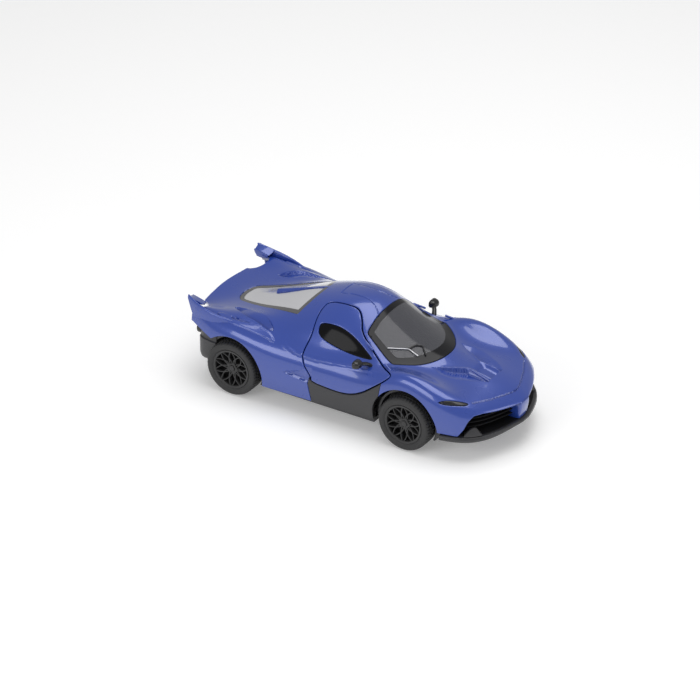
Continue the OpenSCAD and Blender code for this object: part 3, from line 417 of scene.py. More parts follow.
def score(uv, tri, field, level):
    """Splits the triangles that cross field == level, so that an edge runs along it."""
    d = field(on_body(uv)[0]) - level
    d[np.abs(d) < SNAP] = 0
    side = np.sign(d).astype(int)[tri]
    crossing = (side.min(1) < 0) & (side.max(1) > 0)
    if not crossing.any():
        return uv, tri
    cut = tri[crossing]
    ends = cut[:, [[0, 1], [1, 2], [2, 0]]]
    hit = np.sign(d)[ends].prod(-1) < 0
    pairs, which = np.unique(np.sort(ends[hit], 1), axis=0, return_inverse=True)
    a, b = pairs.T
    t = d[a] / (d[a] - d[b])
    error = field(on_body(uv[a] + t[:, None] * (uv[b] - uv[a]))[0]) - level
    beyond = np.sign(error) == np.sign(d[a])
    t = np.where(beyond, t + (1 - t) * error / (error - d[b] + 1e-12 * np.sign(d[a])),
                 t * d[a] / (d[a] - error + 1e-12 * np.sign(d[a])))
    t = np.clip(t, 0.02, 0.98)
    new = uv[a] + t[:, None] * (uv[b] - uv[a])
    middle = np.full(hit.shape, -1)
    middle[hit] = len(uv) + which.reshape(-1)
    parts = [tri[~crossing]]
    for k in range(3):
        one, two, three = k, (k + 1) % 3, (k + 2) % 3
        alone = hit[:, one] & hit[:, three]
        v, m = cut[alone], middle[alone]
        parts += [np.stack([v[:, one], m[:, one], m[:, three]], 1),
                  np.stack([m[:, one], v[:, two], v[:, three]], 1),
                  np.stack([m[:, one], v[:, three], m[:, three]], 1)]
        single = hit[:, two] & ~hit[:, one] & ~hit[:, three]
        v, m = cut[single], middle[single]
        parts += [np.stack([v[:, one], v[:, two], m[:, two]], 1),
                  np.stack([v[:, one], m[:, two], v[:, three]], 1)]
    return np.concatenate([uv, new]), np.concatenate(parts)


ROLL = 0.28
ROLL_STEPS = [0, 0.293 * ROLL, ROLL]


def rolled(e, radius=ROLL):
    """How far an edge of that radius falls away at distance e from the edge."""
    e = np.clip(e, 0, radius)
    return radius - np.sqrt(np.maximum(radius ** 2 - (radius - e) ** 2, 0))


uv_all, tri_all = skin_grid()
print("skin grid:", len(tri_all), "triangles before scoring")

# %% [markdown]
# ## Pressed features
#
# Ridges, channels and grooves of the casting are changes of depth below the skin. Each one is
# a small function of position, with a score along every sharp line so that the line stays
# crisp. Their depths add up, and the same sum serves the body and the doors, so a crease runs
# on across a shut line.

# %% The bonnet: two ridges, side channels and the shut line
def smooth(t):
    t = np.clip(t, 0, 1)
    return t * t * (3 - 2 * t)


RIDGE_X = [28, 31.7, 43, 52.3, 60]
RIDGE_Y = [11.7, 9.8, 3.6, 3.2, 3.0]
CHANNEL_X = [28, 31.7, 36, 42, 48, 52.3, 60]
CHANNEL_Y = [12.2, 10.3, 11.8, 11.2, 8.4, 5.2, 5.0]
PLATE_X = 52.3
WALL = 0.4
CHANNEL_DEPTH, DIP_DEPTH, CREST = 2.1, 1.1, 0.28


def ridge_line(p):
    return np.abs(p[:, 1]) - np.interp(p[:, 0], RIDGE_X, RIDGE_Y)


def plate_edge(p):
    return PLATE_X - p[:, 0] + 0 * p[:, 1]


def bonnet_depth(p):
    x, y = p[:, 0], np.abs(p[:, 1])
    inner = np.interp(x, RIDGE_X, RIDGE_Y)
    outer = np.interp(x, CHANNEL_X, CHANNEL_Y)
    beside = ridge_line(p)
    ahead = np.clip(plate_edge(p) / WALL, 0, 1)
    fall = np.clip(beside / WALL, 0, 1) * smooth((x - 30.5) / 9) * ahead
    slope = np.clip((outer - y) / np.maximum(outer - inner - WALL, 0.5), 0, 1) ** 1.3
    channel = CHANNEL_DEPTH * fall * slope
    dip = DIP_DEPTH * smooth((x - 43.5) / 3.5) * ahead * np.clip(-beside / 1.6, 0, 1) ** 0.8
    crest = -CREST * np.exp(-(beside / 0.5) ** 2) * smooth((x - 33) / 6) * ahead
    return channel + dip + crest


SHUT_LINE = [[53.6, 18.2], [55.2, 15.4], [57.4, 11.4], [59.3, 6.8], [60.5, 3.4], [61, 1.4], [61.1, 0],
             [61.1, -1]]
ROOF_LINE = [[-10.8, -1], [-10.8, 4.1], [-6, 3.7], [0.9, 3.6], [5, 5.2], [7.4, 7.4]]

SHUT_GROOVE, ROOF_GROOVE = (0.34, 0.65), (0.24, 0.4)


def shut_line(p):
    return np.maximum(line_distance(plan_view(p), SHUT_LINE), 18 - p[:, 2])


def roof_line(p):
    return np.maximum(line_distance(plan_view(p), ROOF_LINE), 30 - p[:, 2])


def groove(d, width, depth):
    return depth * np.clip((width - d) / (0.5 * width), 0, 1)


print("bonnet channels", CHANNEL_DEPTH, "mm deep")

# %% The haunch: a sunk leaf, a raised leaf with its slot, and the side scoop
SUNK_LEAF = rounded([[-51.4, 13.9], [-45, 13.7], [-37.6, 15.6], [-32, 18.4], [-28.2, 21.7], [-31.5, 21.9],
                     [-37.9, 20.4], [-42.1, 19.9], [-47.4, 17.2]], 2)
SUNK_EDGE = [[-51.4, 14.1], [-47.4, 17.2], [-42.1, 19.9], [-37.9, 20.6], [-31.5, 21.9], [-28.2, 21.7]]
RAISED_LEAF = rounded([[-54, 22.6], [-47.5, 20.6], [-40, 20.4], [-33.6, 21.7], [-29.2, 22.3], [-25.6, 25],
                       [-31, 24.6], [-37, 24.7], [-43, 25.0], [-49, 24.8]], 2)
RAISED_EDGE = [[-54, 23.2], [-49, 24.9], [-43, 25.1], [-37, 24.8], [-31, 24.7], [-25.6, 25.1]]
SLOT = rounded([[-47, 21.7], [-46.6, 23.3], [-42, 22.7], [-37.1, 21.9], [-41.5, 21.8]], 2)
SCOOP = np.array([[-22.6, 16.9], [-14, 19.4], [-11.9, 21.4], [-9, 21.8], [-9, 14.9]])
LEAF_DEPTH, LEAF_LIFT, SLOT_DEPTH, SCOOP_DEPTH = 1.7, 0.6, 1.1, 1.0


def high(field):
    """The same field, only on the upper part of the skin."""
    return lambda p: np.maximum(field(p), 24 - p[:, 2])


sunk_leaf = high(lambda p: outline_distance(plan_view(p), SUNK_LEAF))
raised_leaf = high(lambda p: outline_distance(plan_view(p), RAISED_LEAF))
slot = high(lambda p: outline_distance(plan_view(p), SLOT))
side_scoop = lambda p: np.maximum(outline_distance(flank_view(p), SCOOP), 20 - p[:, 1])


def haunch_depth(p):
    q = plan_view(p)
    inside = np.clip(-sunk_leaf(p) / 0.35, 0, 1)
    to_edge = line_distance(q, SUNK_EDGE, 5.0)
    leaf = LEAF_DEPTH * inside * np.clip(1 - to_edge / 4.6, 0, 1) ** 1.2
    lift = np.clip(-raised_leaf(p) / 0.5, 0, 1)
    edge = line_distance(q, RAISED_EDGE, 4.0)
    raised = -LEAF_LIFT * lift * np.clip(1 - edge / 3.4, 0, 1)
    cut = SLOT_DEPTH * np.clip(-slot(p) / 0.3, 0, 1)
    return leaf + raised + cut


def scoop_depth(p):
    inside = np.clip(-side_scoop(p) / 0.3, 0, 1)
    return SCOOP_DEPTH * inside * smooth((p[:, 0] + 22.6) / 6) * np.clip((21.8 - p[:, 2]) / 4.5, 0, 1)


print("haunch outlines:", len(SUNK_LEAF), len(RAISED_LEAF), len(SLOT))

# %% The belt crease along the flank
BELT = [[-24, 24.8, 26.6], [-17, 25.1, 24.6], [-8.5, 25.1, 24.5], [-1, 24.6, 25.0], [6.5, 23.9, 25.6],
        [13, 24.3, 26.4], [19, 25.2, 27.0]]
belt_side = side_view(np.array(BELT, float))


def belt(p):
    """Signed height above the crease in the doors' side view."""
    q = side_view(p)
    return q[:, 1] - np.interp(q[:, 0], belt_side[:, 0], belt_side[:, 1])


def belt_depth(p):
    fade = smooth((p[:, 0] + 25) / 6) * smooth((20 - p[:, 0]) / 8)
    d = np.abs(belt(p))
    return -0.42 * fade * np.clip(1 - d / 1.1, 0, 1) ** 1.3 * (p[:, 1] > 15)


def pressed(p):
    """Depth of everything that is pressed into the skin."""
    return (bonnet_depth(p) + haunch_depth(p) + scoop_depth(p) + belt_depth(p)
            + groove(shut_line(p), *SHUT_GROOVE) + groove(roof_line(p), *ROOF_GROOVE))


PRESS_SCORES = [
    (ridge_line, [0, WALL]), (plate_edge, [0, WALL]),
    (shut_line, [SHUT_GROOVE[0], SHUT_GROOVE[0] / 2]), (roof_line, [ROOF_GROOVE[0], ROOF_GROOVE[0] / 2]),
    (sunk_leaf, [0, -0.35]), (raised_leaf, [0, -0.5]), (slot, [0, -0.3]),
    (side_scoop, [0, -0.3]), (belt, [0]),
]
for field, levels in PRESS_SCORES:
    for level in levels:
        uv_all, tri_all = score(uv_all, tri_all, field, level)
print("scored for pressings:", len(tri_all), "triangles")

# %% Scores for every panel edge
PANEL_EDGES = {
    "door": (door, GAP / 2), "door_window": (door_window, 0.05), "sill": (sill, TRIM_GAP),
    "windscreen": (windscreen, TRIM_GAP), "rear_glass": (rear_glass, TRIM_GAP), "spine": (spine, TRIM_GAP),
    "headlight": (headlight, TRIM_GAP), "lower_front": (lower_front, 0), "arches": (arches, 0),
    "tail_opening": (tail_opening, 0), "tail_notch": (tail_notch, 0),
}
for name, (field, gap) in PANEL_EDGES.items():
    outside = [gap + s for s in ROLL_STEPS]
    inside = [-gap - s for s in ROLL_STEPS] if name in (
        "door", "door_window", "windscreen", "rear_glass", "spine", "headlight", "sill") else []
    for level in outside + inside:
        uv_all, tri_all = score(uv_all, tri_all, field, level)
print("scored for panels:", len(tri_all), "triangles")

# %% [markdown]
# ## Finishes
#
# Every finish is a node material. The paint of a die-cast toy is one thick gloss coat: deep
# blue, with a faint unevenness that makes reflections swim a little. The plastics differ
# mainly in roughness and in the fine grain that the mould left.

# %% A helper that makes one finish
def finish(name, colour, rough, grain=0.0, grain_size=900, spread=0.0, patch=300, rough_spread=0.0,
           **sockets):
    """A surface with optional colour patches and a fine grain that bends the light."""
    mat = bpy.data.materials.new(name)
    mat.use_nodes = True
    nodes, links = mat.node_tree.nodes, mat.node_tree.links
    shader = nodes["Principled BSDF"]
    shader.inputs["Base Color"].default_value = (*colour, 1)
    shader.inputs["Roughness"].default_value = rough
    for key, value in sockets.items():
        shader.inputs[key.replace("_", " ")].default_value = value
    place = nodes.new("ShaderNodeTexCoord").outputs["Object"]
    if spread or rough_spread:
        cloud = nodes.new("ShaderNodeTexNoise")
        cloud.inputs["Scale"].default_value = patch
        cloud.inputs["Detail"].default_value = 3
        links.new(place, cloud.inputs["Vector"])
    if spread:
        mix = nodes.new("ShaderNodeMix")
        mix.data_type = "RGBA"
        mix.inputs["A"].default_value = (*[c * (1 - spread) for c in colour], 1)
        mix.inputs["B"].default_value = (*[min(1, c * (1 + spread)) for c in colour], 1)
        links.new(cloud.outputs["Fac"], mix.inputs["Factor"])
        links.new(mix.outputs["Result"], shader.inputs["Base Color"])
    if rough_spread:
        fit = nodes.new("ShaderNodeMapRange")
        fit.inputs["To Min"].default_value = max(0, rough - rough_spread)
        fit.inputs["To Max"].default_value = rough + rough_spread
        links.new(cloud.outputs["Fac"], fit.inputs["Value"])
        links.new(fit.outputs["Result"], shader.inputs["Roughness"])
    if grain:
        noise = nodes.new("ShaderNodeTexNoise")
        noise.inputs["Scale"].default_value = grain_size
        noise.inputs["Detail"].default_value = 4
        bump = nodes.new("ShaderNodeBump")
        bump.inputs["Strength"].default_value = grain
        bump.inputs["Distance"].default_value = 0.0002
        links.new(place, noise.inputs["Vector"])
        links.new(noise.outputs["Fac"], bump.inputs["Height"])
        links.new(bump.outputs["Normal"], shader.inputs["Normal"])
    return mat


print("finish() makes a Principled surface with patches and grain")

# %% The finishes of this car
paint = finish("blue gloss paint", (0.02, 0.058, 0.34), 0.28, grain=0.05, grain_size=130, spread=0.05,
               patch=60, rough_spread=0.03, Coat_Weight=1.0, Coat_Roughness=0.06, Metallic=0.15)
gloss_black = finish("gloss black plastic", (0.012, 0.012, 0.014), 0.16, grain=0.06, grain_size=400,
                     spread=0.15, rough_spread=0.04)
satin_black = finish("satin black plastic", (0.03, 0.03, 0.033), 0.38, grain=0.35, grain_size=2600,
                     spread=0.2, rough_spread=0.06)
grey_plastic = finish("dark grey plastic", (0.032, 0.032, 0.035), 0.42, grain=0.3, grain_size=2200,
                      spread=0.12, rough_spread=0.05)
rubber = finish("tyre rubber", (0.026, 0.026, 0.027), 0.62, grain=0.5, grain_size=3000, spread=0.15,
                rough_spread=0.08)
rim_grey = finish("satin rim plastic", (0.02, 0.02, 0.021), 0.34, grain=0.15, grain_size=1500, spread=0.15,
                  rough_spread=0.05)
# Near-black, low-shine plastic: painted shade for the intake walls, the intake slats and the disc behind the rim
# spokes, where the hollows fall dark.
painted_shade_black = finish("black plastic with painted shade", (0.006, 0.006, 0.007), 0.6, grain=0.2, grain_size=2000,
                    spread=0.2, Specular_IOR_Level=0.2)
smoked = finish("smoked glass", (0.13, 0.132, 0.15), 0.08, spread=0.06, patch=40,
                Transmission_Weight=0.5, IOR=1.4, Specular_IOR_Level=0.4)
frit = finish("black glass border", (0.01, 0.01, 0.012), 0.12, spread=0.1, rough_spread=0.02,
              Specular_IOR_Level=0.22)
side_glass = finish("black side glass", (0.004, 0.004, 0.005), 0.1, spread=0.1, rough_spread=0.02,
                    Specular_IOR_Level=0.12)
silver_glass = finish("silvered rear glass", (0.52, 0.52, 0.54), 0.2, spread=0.05, patch=45,
                      Coat_Weight=0.8, Metallic=0.1)
bevel_grey = finish("grey glass border", (0.09, 0.088, 0.09), 0.22, spread=0.08, Coat_Weight=0.5)
steel = finish("bright steel", (0.62, 0.62, 0.64), 0.28, grain=0.1, grain_size=1800, rough_spread=0.06,
               Metallic=1.0)
red_lens = finish("red lens", (0.42, 0.012, 0.016), 0.12, spread=0.1, Coat_Weight=0.8)
lamp_clear = finish("clear lamp", (0.6, 0.62, 0.66), 0.08, spread=0.08, Coat_Weight=1.0)
print(len(bpy.data.materials), "finishes")

# %% [markdown]
# ## From panel to solid
#
# A panel is a sheet until it has a thickness. Its inner side is the same sheet, moved inwards
# along the skin's own directions, and a narrow wall joins the two along every free edge. The
# shading directions come from the spline itself wherever nothing is pressed in, because
# they are exact there.

# %% Helpers that make mesh objects
def mesh_object(name, points_mm, faces, material, directions=None, smooth_faces=True):
    mesh = bpy.data.meshes.new(name)
    mesh.from_pydata((np.asarray(points_mm) * MM).tolist(), [], [tuple(map(int, f)) for f in faces])
    mesh.materials.append(material)
    mesh.polygons.foreach_set("use_smooth", [smooth_faces] * len(mesh.polygons))
    if directions is not None:
        mesh.normals_split_custom_set_from_vertices(directions.tolist())
    mesh.update()
    obj = bpy.data.objects.new(name, mesh)
    bpy.context.scene.collection.objects.link(obj)
    return obj


def free_edges(tri):
    """The directed edges that only one triangle has."""
    edges = tri[:, [[0, 1], [1, 2], [2, 0]]].reshape(-1, 2)
    key = np.sort(edges, 1)
    _, which, count = np.unique(key, axis=0, return_inverse=True, return_counts=True)
    return edges[count[which.reshape(-1)] == 1]


def panel(name, keep, edges, material, body, depth=0.0, thick=1.2, sides="both", press=True,
          replaces=None):
    """Cuts a panel from the skin: keep picks its triangles, edges are (field, sign, gap)."""
    centre = on_body(uv_all[tri_all].mean(1))[0]
    tri = tri_all[keep(centre)]
    used, tri = np.unique(tri, return_inverse=True)
    tri = tri.reshape(-1, 3)
    uv = uv_all[used]
    p, n = on_body(uv)
    edge = np.full(len(p), 9.0)
    for field, sign, gap in edges:
        edge = np.minimum(edge, sign * field(p) - gap)
    lowered = rolled(edge) + (pressed(p) if press else 0)
    outer = p - n * (lowered + depth)[:, None]
    inner = p - n * (np.maximum(lowered, 0) + depth + thick)[:, None]
    exact = np.where((np.abs(lowered) < 1e-9)[:, None], n, 0)
    for side in (1, -1):
        if sides == "both" and side == -1:
            break
        o, i, t, e, v = outer.copy(), inner.copy(), tri, exact.copy(), uv[:, 1]
        if sides == "both":
            on_line = np.abs(v) < 1e-9
            o[on_line, 1] = i[on_line, 1] = 0
            other = np.where(on_line, np.arange(len(o)), len(o) + np.cumsum(~on_line) - 1)
            t = np.concatenate([tri, other[tri][:, ::-1]])
            o, i, e = [np.concatenate([a, a[~on_line] * MIRROR]) for a in (o, i, e)]
        elif side == -1:
            o, i, e, t = o * MIRROR, i * MIRROR, e * MIRROR, tri[:, ::-1]
        count = len(o)
        rim = free_edges(t)
        wall = np.stack([rim[:, 1], rim[:, 0], rim[:, 0] + count, rim[:, 1] + count], 1)
        faces = t.tolist() + (t[:, ::-1] + count).tolist() + wall.tolist()
        directions = np.concatenate([e, np.zeros_like(e)])
        suffix = "" if sides == "both" else ("_left" if side == 1 else "_right")
        obj = mesh_object(name + suffix, np.concatenate([o, i]), faces, material, directions)
        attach(obj, body if isinstance(body, str) else body[side])
        if replaces:
            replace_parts(obj, replaces + suffix)
    print(name, len(tri), "triangles a side")


DOOR_BODIES = {1: "left_door", -1: "right_door"}
print("panel() is ready")

# %% The body shell
def body_part(p):
    keep = ((door(p) > GAP / 2) & (windscreen(p) > 0) & (headlight(p) > 0) & (lower_front(p) > 0)
            & (sill(p) > TRIM_GAP) & (arches(p) > 0) & (tail_opening(p) > 0)
            & (tail_notch(p) > 0))
    return keep & ((rear_glass(p) > 0) | (spine(p) < 0))


panel("body_casting", body_part,
      [(door, 1, GAP / 2), (windscreen, 1, 0), (headlight, 1, 0), (lower_front, 1, 0),
       (sill, 1, TRIM_GAP), (arches, 1, 0), (tail_notch, 1, 0)], paint, "car", replaces="body_shell")

# %% Doors
def door_part(p):
    return (door(p) < -GAP / 2) & (door_window(p) > 0)


panel("door_skin", door_part, [(door, -1, GAP / 2), (door_window, 1, 0)], paint, DOOR_BODIES,
      thick=1.1, sides="each", replaces="door")

# %% [markdown]
# ## Glass and lamps
#
# The windscreen is one smoked moulding with a black border, as the printed border of a real
# windscreen. The rear window is silvered, with a darker bevelled frame round it. The side
# windows are black, and ride on the doors. All of them are cut from the same skin, a hair
# below the paint.

# %% Cut the glass
FRAME = 1.7


def band(field, low, high):
    return lambda p: (field(p) > low) & (field(p) < high)


def clear_edge(p):
    """Negative over the clear glass: the black border widens towards the bonnet."""
    return windscreen(p) + np.interp(p[:, 0], [8, 14, 24, 30], [2.0, 2.5, 3.4, 4.6])


for field, level in ((clear_edge, 0), (rear_glass, -FRAME)):
    uv_all, tri_all = score(uv_all, tri_all, field, level)
panel("windscreen_glass", lambda p: clear_edge(p) < 0, [], smoked, "car", depth=0.1, thick=0.8)
panel("windscreen_border", lambda p: (clear_edge(p) > 0) & (windscreen(p) < -TRIM_GAP),
      [(windscreen, -1, TRIM_GAP)], frit, "car", depth=0.08, thick=1.0, replaces="windscreen")
rear_pane = lambda p: (rear_glass(p) < -FRAME) & (spine(p) > TRIM_GAP)
rear_frame = lambda p: band(rear_glass, -FRAME, -TRIM_GAP)(p) & (spine(p) > TRIM_GAP)
panel("rear_pane", rear_pane, [(spine, 1, TRIM_GAP)], silver_glass, "car", depth=0.32, thick=0.8,
      press=False)
panel("rear_frame", rear_frame, [(rear_glass, -1, TRIM_GAP)], bevel_grey, "car", depth=0.12,
      thick=1.1, press=False, replaces="rear_window")
panel("side_window", lambda p: door_window(p) < -0.05, [(door_window, -1, 0.05)], side_glass, DOOR_BODIES,
      depth=0.12, thick=0.9, sides="each")
panel("headlight_lens", lambda p: headlight(p) < -TRIM_GAP, [(headlight, -1, TRIM_GAP)], gloss_black,
      "car", depth=0.12, thick=1.2, sides="each", press=False, replaces="headlight")

# %% The sills
sill_part = lambda p: (sill(p) < 0) & (door(p) > GAP / 2) & (arches(p) > 0)
panel("sill_panel", sill_part, [(sill, -1, 0), (door, 1, GAP / 2), (arches, 1, 0)], grey_plastic, "car",
      depth=0.1, thick=1.4, sides="each", press=False, replaces="sill")

# %% [markdown]
# ## Swept and turned pieces
#
# Tyres and rim barrels are profiles turned round the axle. Bumpers and trims are profiles
# carried along a line. Both are the same job to a mesh: a grid of points whose rows are
# copies of the profile, closed round the profile, and either closed or capped at its ends.

# %% Helpers for grids, hulls and bars
def grid_faces(rows, columns, close_rows, close_columns=True, start=0):
    faces = []
    for i in range(rows if close_rows else rows - 1):
        for j in range(columns if close_columns else columns - 1):
            a, b = i * columns + j, i * columns + (j + 1) % columns
            c, d = ((i + 1) % rows) * columns + (j + 1) % columns, ((i + 1) % rows) * columns + j
            faces.append((start + a, start + b, start + c, start + d))
    return faces


def swept(name, rows, material, body, closed=False, smooth_faces=True, crease=35):
    """A solid through closed rows of points, capped at both ends unless it closes on itself."""
    rows = np.asarray(rows, float)
    count, columns = rows.shape[:2]
    faces = grid_faces(count, columns, closed)
    if not closed:
        faces += [tuple(range(columns))[::-1], tuple(range((count - 1) * columns, count * columns))]
    obj = mesh_object(name, rows.reshape(-1, 3), faces, material, smooth_faces=smooth_faces)
    tidy_solid(obj, crease)
    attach(obj, body)
    return obj


def tidy_solid(obj, crease=35):
    """Turns all faces outwards and keeps edges sharper than the crease angle crisp."""
    import bmesh
    bm = bmesh.new()
    bm.from_mesh(obj.data)
    bmesh.ops.remove_doubles(bm, verts=bm.verts, dist=1e-7)
    bmesh.ops.recalc_face_normals(bm, faces=bm.faces)
    for edge in bm.edges:
        edge.smooth = len(edge.link_faces) == 2 and edge.calc_face_angle(0) < math.radians(crease)
    bm.to_mesh(obj.data)
    bm.free()


def joined(name, objs):
    """Several solids as one piece, which keeps the first one's body."""
    bpy.ops.object.select_all(action="DESELECT")
    for obj in objs:
        obj.select_set(True)
    bpy.context.view_layer.objects.active = objs[0]
    bpy.ops.object.join()
    objs[0].name = name
    return objs[0]


def mirrored(obj, name, body=None):
    """The same piece on the other side of the car."""
    copy = obj.copy()
    copy.data = obj.data.copy()
    copy.name = name
    for vertex in copy.data.vertices:
        vertex.co.y *= -1
    copy.data.flip_normals()
    if "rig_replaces" in copy:
        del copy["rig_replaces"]
    bpy.context.scene.collection.objects.link(copy)
    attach(copy, body or body_of(obj)[0])
    return copy


print("grid, sweep and mirror helpers")

# %% [markdown]
# ## Wheels
#
# Tyre and rim are two mouldings. The tyre is a turned profile with grooves and cross cuts in
# its tread, and the rim is a lattice: ten pairs of thin spokes that cross between a lobed
# hub and a ring. Each spoke is a small tapered bar with bevelled top edges, which is what
# makes a dark wheel readable.

# %% Tyres
WHEEL_Y = 23.8
TYRE_STEPS = 200
tyre_profile = [
    (7.24, 2.6), (7.3, 3.1), (7.72, 3.42), (8.1, 3.72), (8.6, 3.93), (9.15, 4.0), (9.65, 3.93),
    (10.05, 3.72),
    (10.34, 3.38), (10.52, 2.95), (10.58, 2.5), (10.6, 1.95), (10.6, 1.8), (10.28, 1.72), (10.28, 1.42),
    (10.6, 1.34), (10.6, 0.4), (10.6, 0.2), (10.28, 0.14), (10.28, -0.14), (10.6, -0.2), (10.6, -0.4),
    (10.6, -1.34), (10.28, -1.42), (10.28, -1.72), (10.6, -1.8), (10.6, -1.95), (10.58, -2.5),
    (10.52, -2.95),
    (10.34, -3.38), (10.05, -3.72), (9.65, -3.93), (9.15, -4.0), (8.6, -3.93), (8.1, -3.7), (7.5, -3.3),
    (7.24, -2.9)]


def around_axle(x, side, r, angle, out):
    return (x + r * math.cos(angle), side * (WHEEL_Y + out), AXLE_Z + r * math.sin(angle))


def tread_cut(k, r, out):
    """Cross cuts, staggered from rib to rib and running out over the shoulder."""
    if r < 10.3:
        return 0
    rib = 0 if abs(out) < 1.4 else (2 if out > 0 else 3)
    return 0.24 if (k + rib) % 4 == 0 else 0


def tyre(name, x, side, body):
    rows = [[around_axle(x, side, r - tread_cut(k, r, out), 2 * math.pi * k / TYRE_STEPS, out)
             for r, out in tyre_profile] for k in range(TYRE_STEPS)]
    obj = swept(name, rows, rubber, body, closed=True, crease=28)
    return obj


WHEELS = [("front_left", FRONT_AXLE, 1, "front_wheels"), ("front_right", FRONT_AXLE, -1, "front_wheels"),
          ("rear_left", REAR_AXLE, 1, "rear_wheels"), ("rear_right", REAR_AXLE, -1, "rear_wheels")]
for place, x, side, body in WHEELS:
    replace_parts(tyre(place + "_tread_tyre", x, side, body), place + "_tyre")
print("4 tyres of", TYRE_STEPS, "steps")

# %% Rims
PAIRS = 10
SPOKE_IN, SPOKE_OUT = 1.9, 6.85
ring_profile = [(6.7, 2.3), (6.72, 3.2), (6.85, 3.42), (7.1, 3.5), (7.4, 3.62), (7.62, 3.58), (7.68, 3.4),
                (7.6, 3.1), (7.22, 3.0), (7.22, -3.4), (6.9, -3.5), (6.6, -3.3), (6.55, -1.0)]
hub_profile = [(2.35, 0.4), (2.35, 2.3), (2.2, 2.62), (1.95, 2.75), (1.5, 2.82), (1.42, 2.7), (1.2, 2.66),
               (1.12, 2.9), (0.95, 3.02), (0.4, 3.06), (0.05, 3.06), (0.05, 0.4)]
disc_profile = [(6.7, 0.2), (6.7, 0.55), (4.6, 0.6), (4.5, 0.85), (2.6, 0.9), (1.0, 0.9), (1.0, 0.2)]
spoke_section = [(-0.5, -1.3), (-0.5, -0.3), (-0.27, 0), (0.27, 0), (0.5, -0.3), (0.5, -1.3)]


def turned(name, profile, x, side, material, body, steps=96, lobe=None, crease=35):
    rows = [[around_axle(x, side, r * (lobe(2 * math.pi * k / steps, r) if lobe else 1),
                         2 * math.pi * k / steps, out) for r, out in profile] for k in range(steps)]
    return swept(name, rows, material, body, closed=True, crease=crease)


def lobes(angle, r):
    return 1 + (0.11 * math.cos(5 * angle) if r > 1.45 else 0)


def spoke(name, x, side, pair, way, body):
    rows = []
    for k in range(9):
        t = k / 8
        r = SPOKE_IN + (SPOKE_OUT - SPOKE_IN) * t
        angle = 2 * math.pi * pair / PAIRS + way * math.radians(12.5 - 27 * t)
        width = 0.68 - 0.04 * t
        face = 2.4 + 0.9 * t ** 1.4
        across = (-math.sin(angle), math.cos(angle))
        row = []
        for w, out in spoke_section:
            row.append((x + r * math.cos(angle) + w * width * across[0],
                        side * (WHEEL_Y + face + out),
                        AXLE_Z + r * math.sin(angle) + w * width * across[1]))
        rows.append(row)
    return swept(name, rows, rim_grey, body, crease=30)


def rim(place, x, side, body):
    # The disc behind the spokes takes the near-black finish: painted shade for the hollow of the wheel.
    parts = [turned("ring", ring_profile, x, side, rim_grey, body),
             turned("hub", hub_profile, x, side, rim_grey, body, lobe=lobes),
             turned("disc", disc_profile, x, side, painted_shade_black, body)]
    parts += [spoke("spoke", x, side, pair, way, body) for pair in range(PAIRS) for way in (-1, 1)]
    return joined(place + "_spoked_rim", parts)


for place, x, side, body in WHEELS:
    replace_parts(rim(place, x, side, body), place + "_rim")
print("4 rims of", 2 * PAIRS, "spokes")

# %% [markdown]
# ## Trims of the body's colour
#
# The keel is the pillar between the two front intakes, the spine runs down the rear window,
# and two fins stand on the haunches and reach out behind the tail. Each is a loft: closed
# sections along a path, deep enough into the body that no gap shows at the foot.

# %% Keel and spine
def oval(cx, cy, hx, hy, z, power=4.0, steps=28):
    """A rounded rectangle in plan, from square-ish to round as the power falls to 2."""
    row = []
    for k in range(steps):
        c, s = math.cos(2 * math.pi * k / steps), math.sin(2 * math.pi * k / steps)
        row.append((cx + hx * math.copysign(abs(c) ** (2 / power), c),
                    cy + hy * math.copysign(abs(s) ** (2 / power), s), z))
    return row


keel_rows = []
for z, front, half in ((11.3, 63.6, 2.4), (11.5, 63.95, 2.85), (12.2, 64.15, 3.05), (14, 64.5, 3.2),
                       (16, 64.8, 3.3), (17.6, 64.9, 3.35), (18.3, 64.8, 3.1), (18.75, 64.3, 2.6)):
    keel_rows.append(oval((front + 57) / 2, 0, (front - 57) / 2, half, z, 7))
swept("keel_pillar", keel_rows, paint, "car", crease=40)
spine_rows = []
for t in np.linspace(0, 1, 17):
    x = -23.5 - 17.4 * t
    base = np.interp(-x, [22, 34, 42.5], [38.2, 34.0, 30.6])
    top = np.interp(-x, [23.5, 30, 40.9], [38.5, 36.2, 32.4])
    foot, edge = 0.5 + 0.5 * t, 0.16 + 0.2 * t
    spine_rows.append([(x, -foot, base - 1.2), (x, -foot, base), (x, -edge * 1.2, top - 0.22),
        (x, -edge * 0.6, top),
                       (x, edge * 0.6, top), (x, edge * 1.2, top - 0.22), (x, foot, base),
                       (x, foot, base - 1.2)])
swept("rear_spine", spine_rows, paint, "car", crease=30)
print("keel of", len(keel_rows), "sections, spine of", len(spine_rows))

# %% Fins
def blade_section(x, y, top, foot, thick, lean_y=0.0):
    """A thin upright section with a rounded top edge."""
    h = thick / 2
    return [(x, y - h, foot), (x, y - h + lean_y * 0.5, (top + foot) / 2), (x, y - h + lean_y, top - h),
            (x, y - 0.6 * h + lean_y, top - 0.25 * h), (x, y + lean_y, top),
            (x, y + 0.6 * h + lean_y, top - 0.25 * h), (x, y + h + lean_y, top - h),
            (x, y + h + lean_y * 0.5, (top + foot) / 2), (x, y + h, foot)]


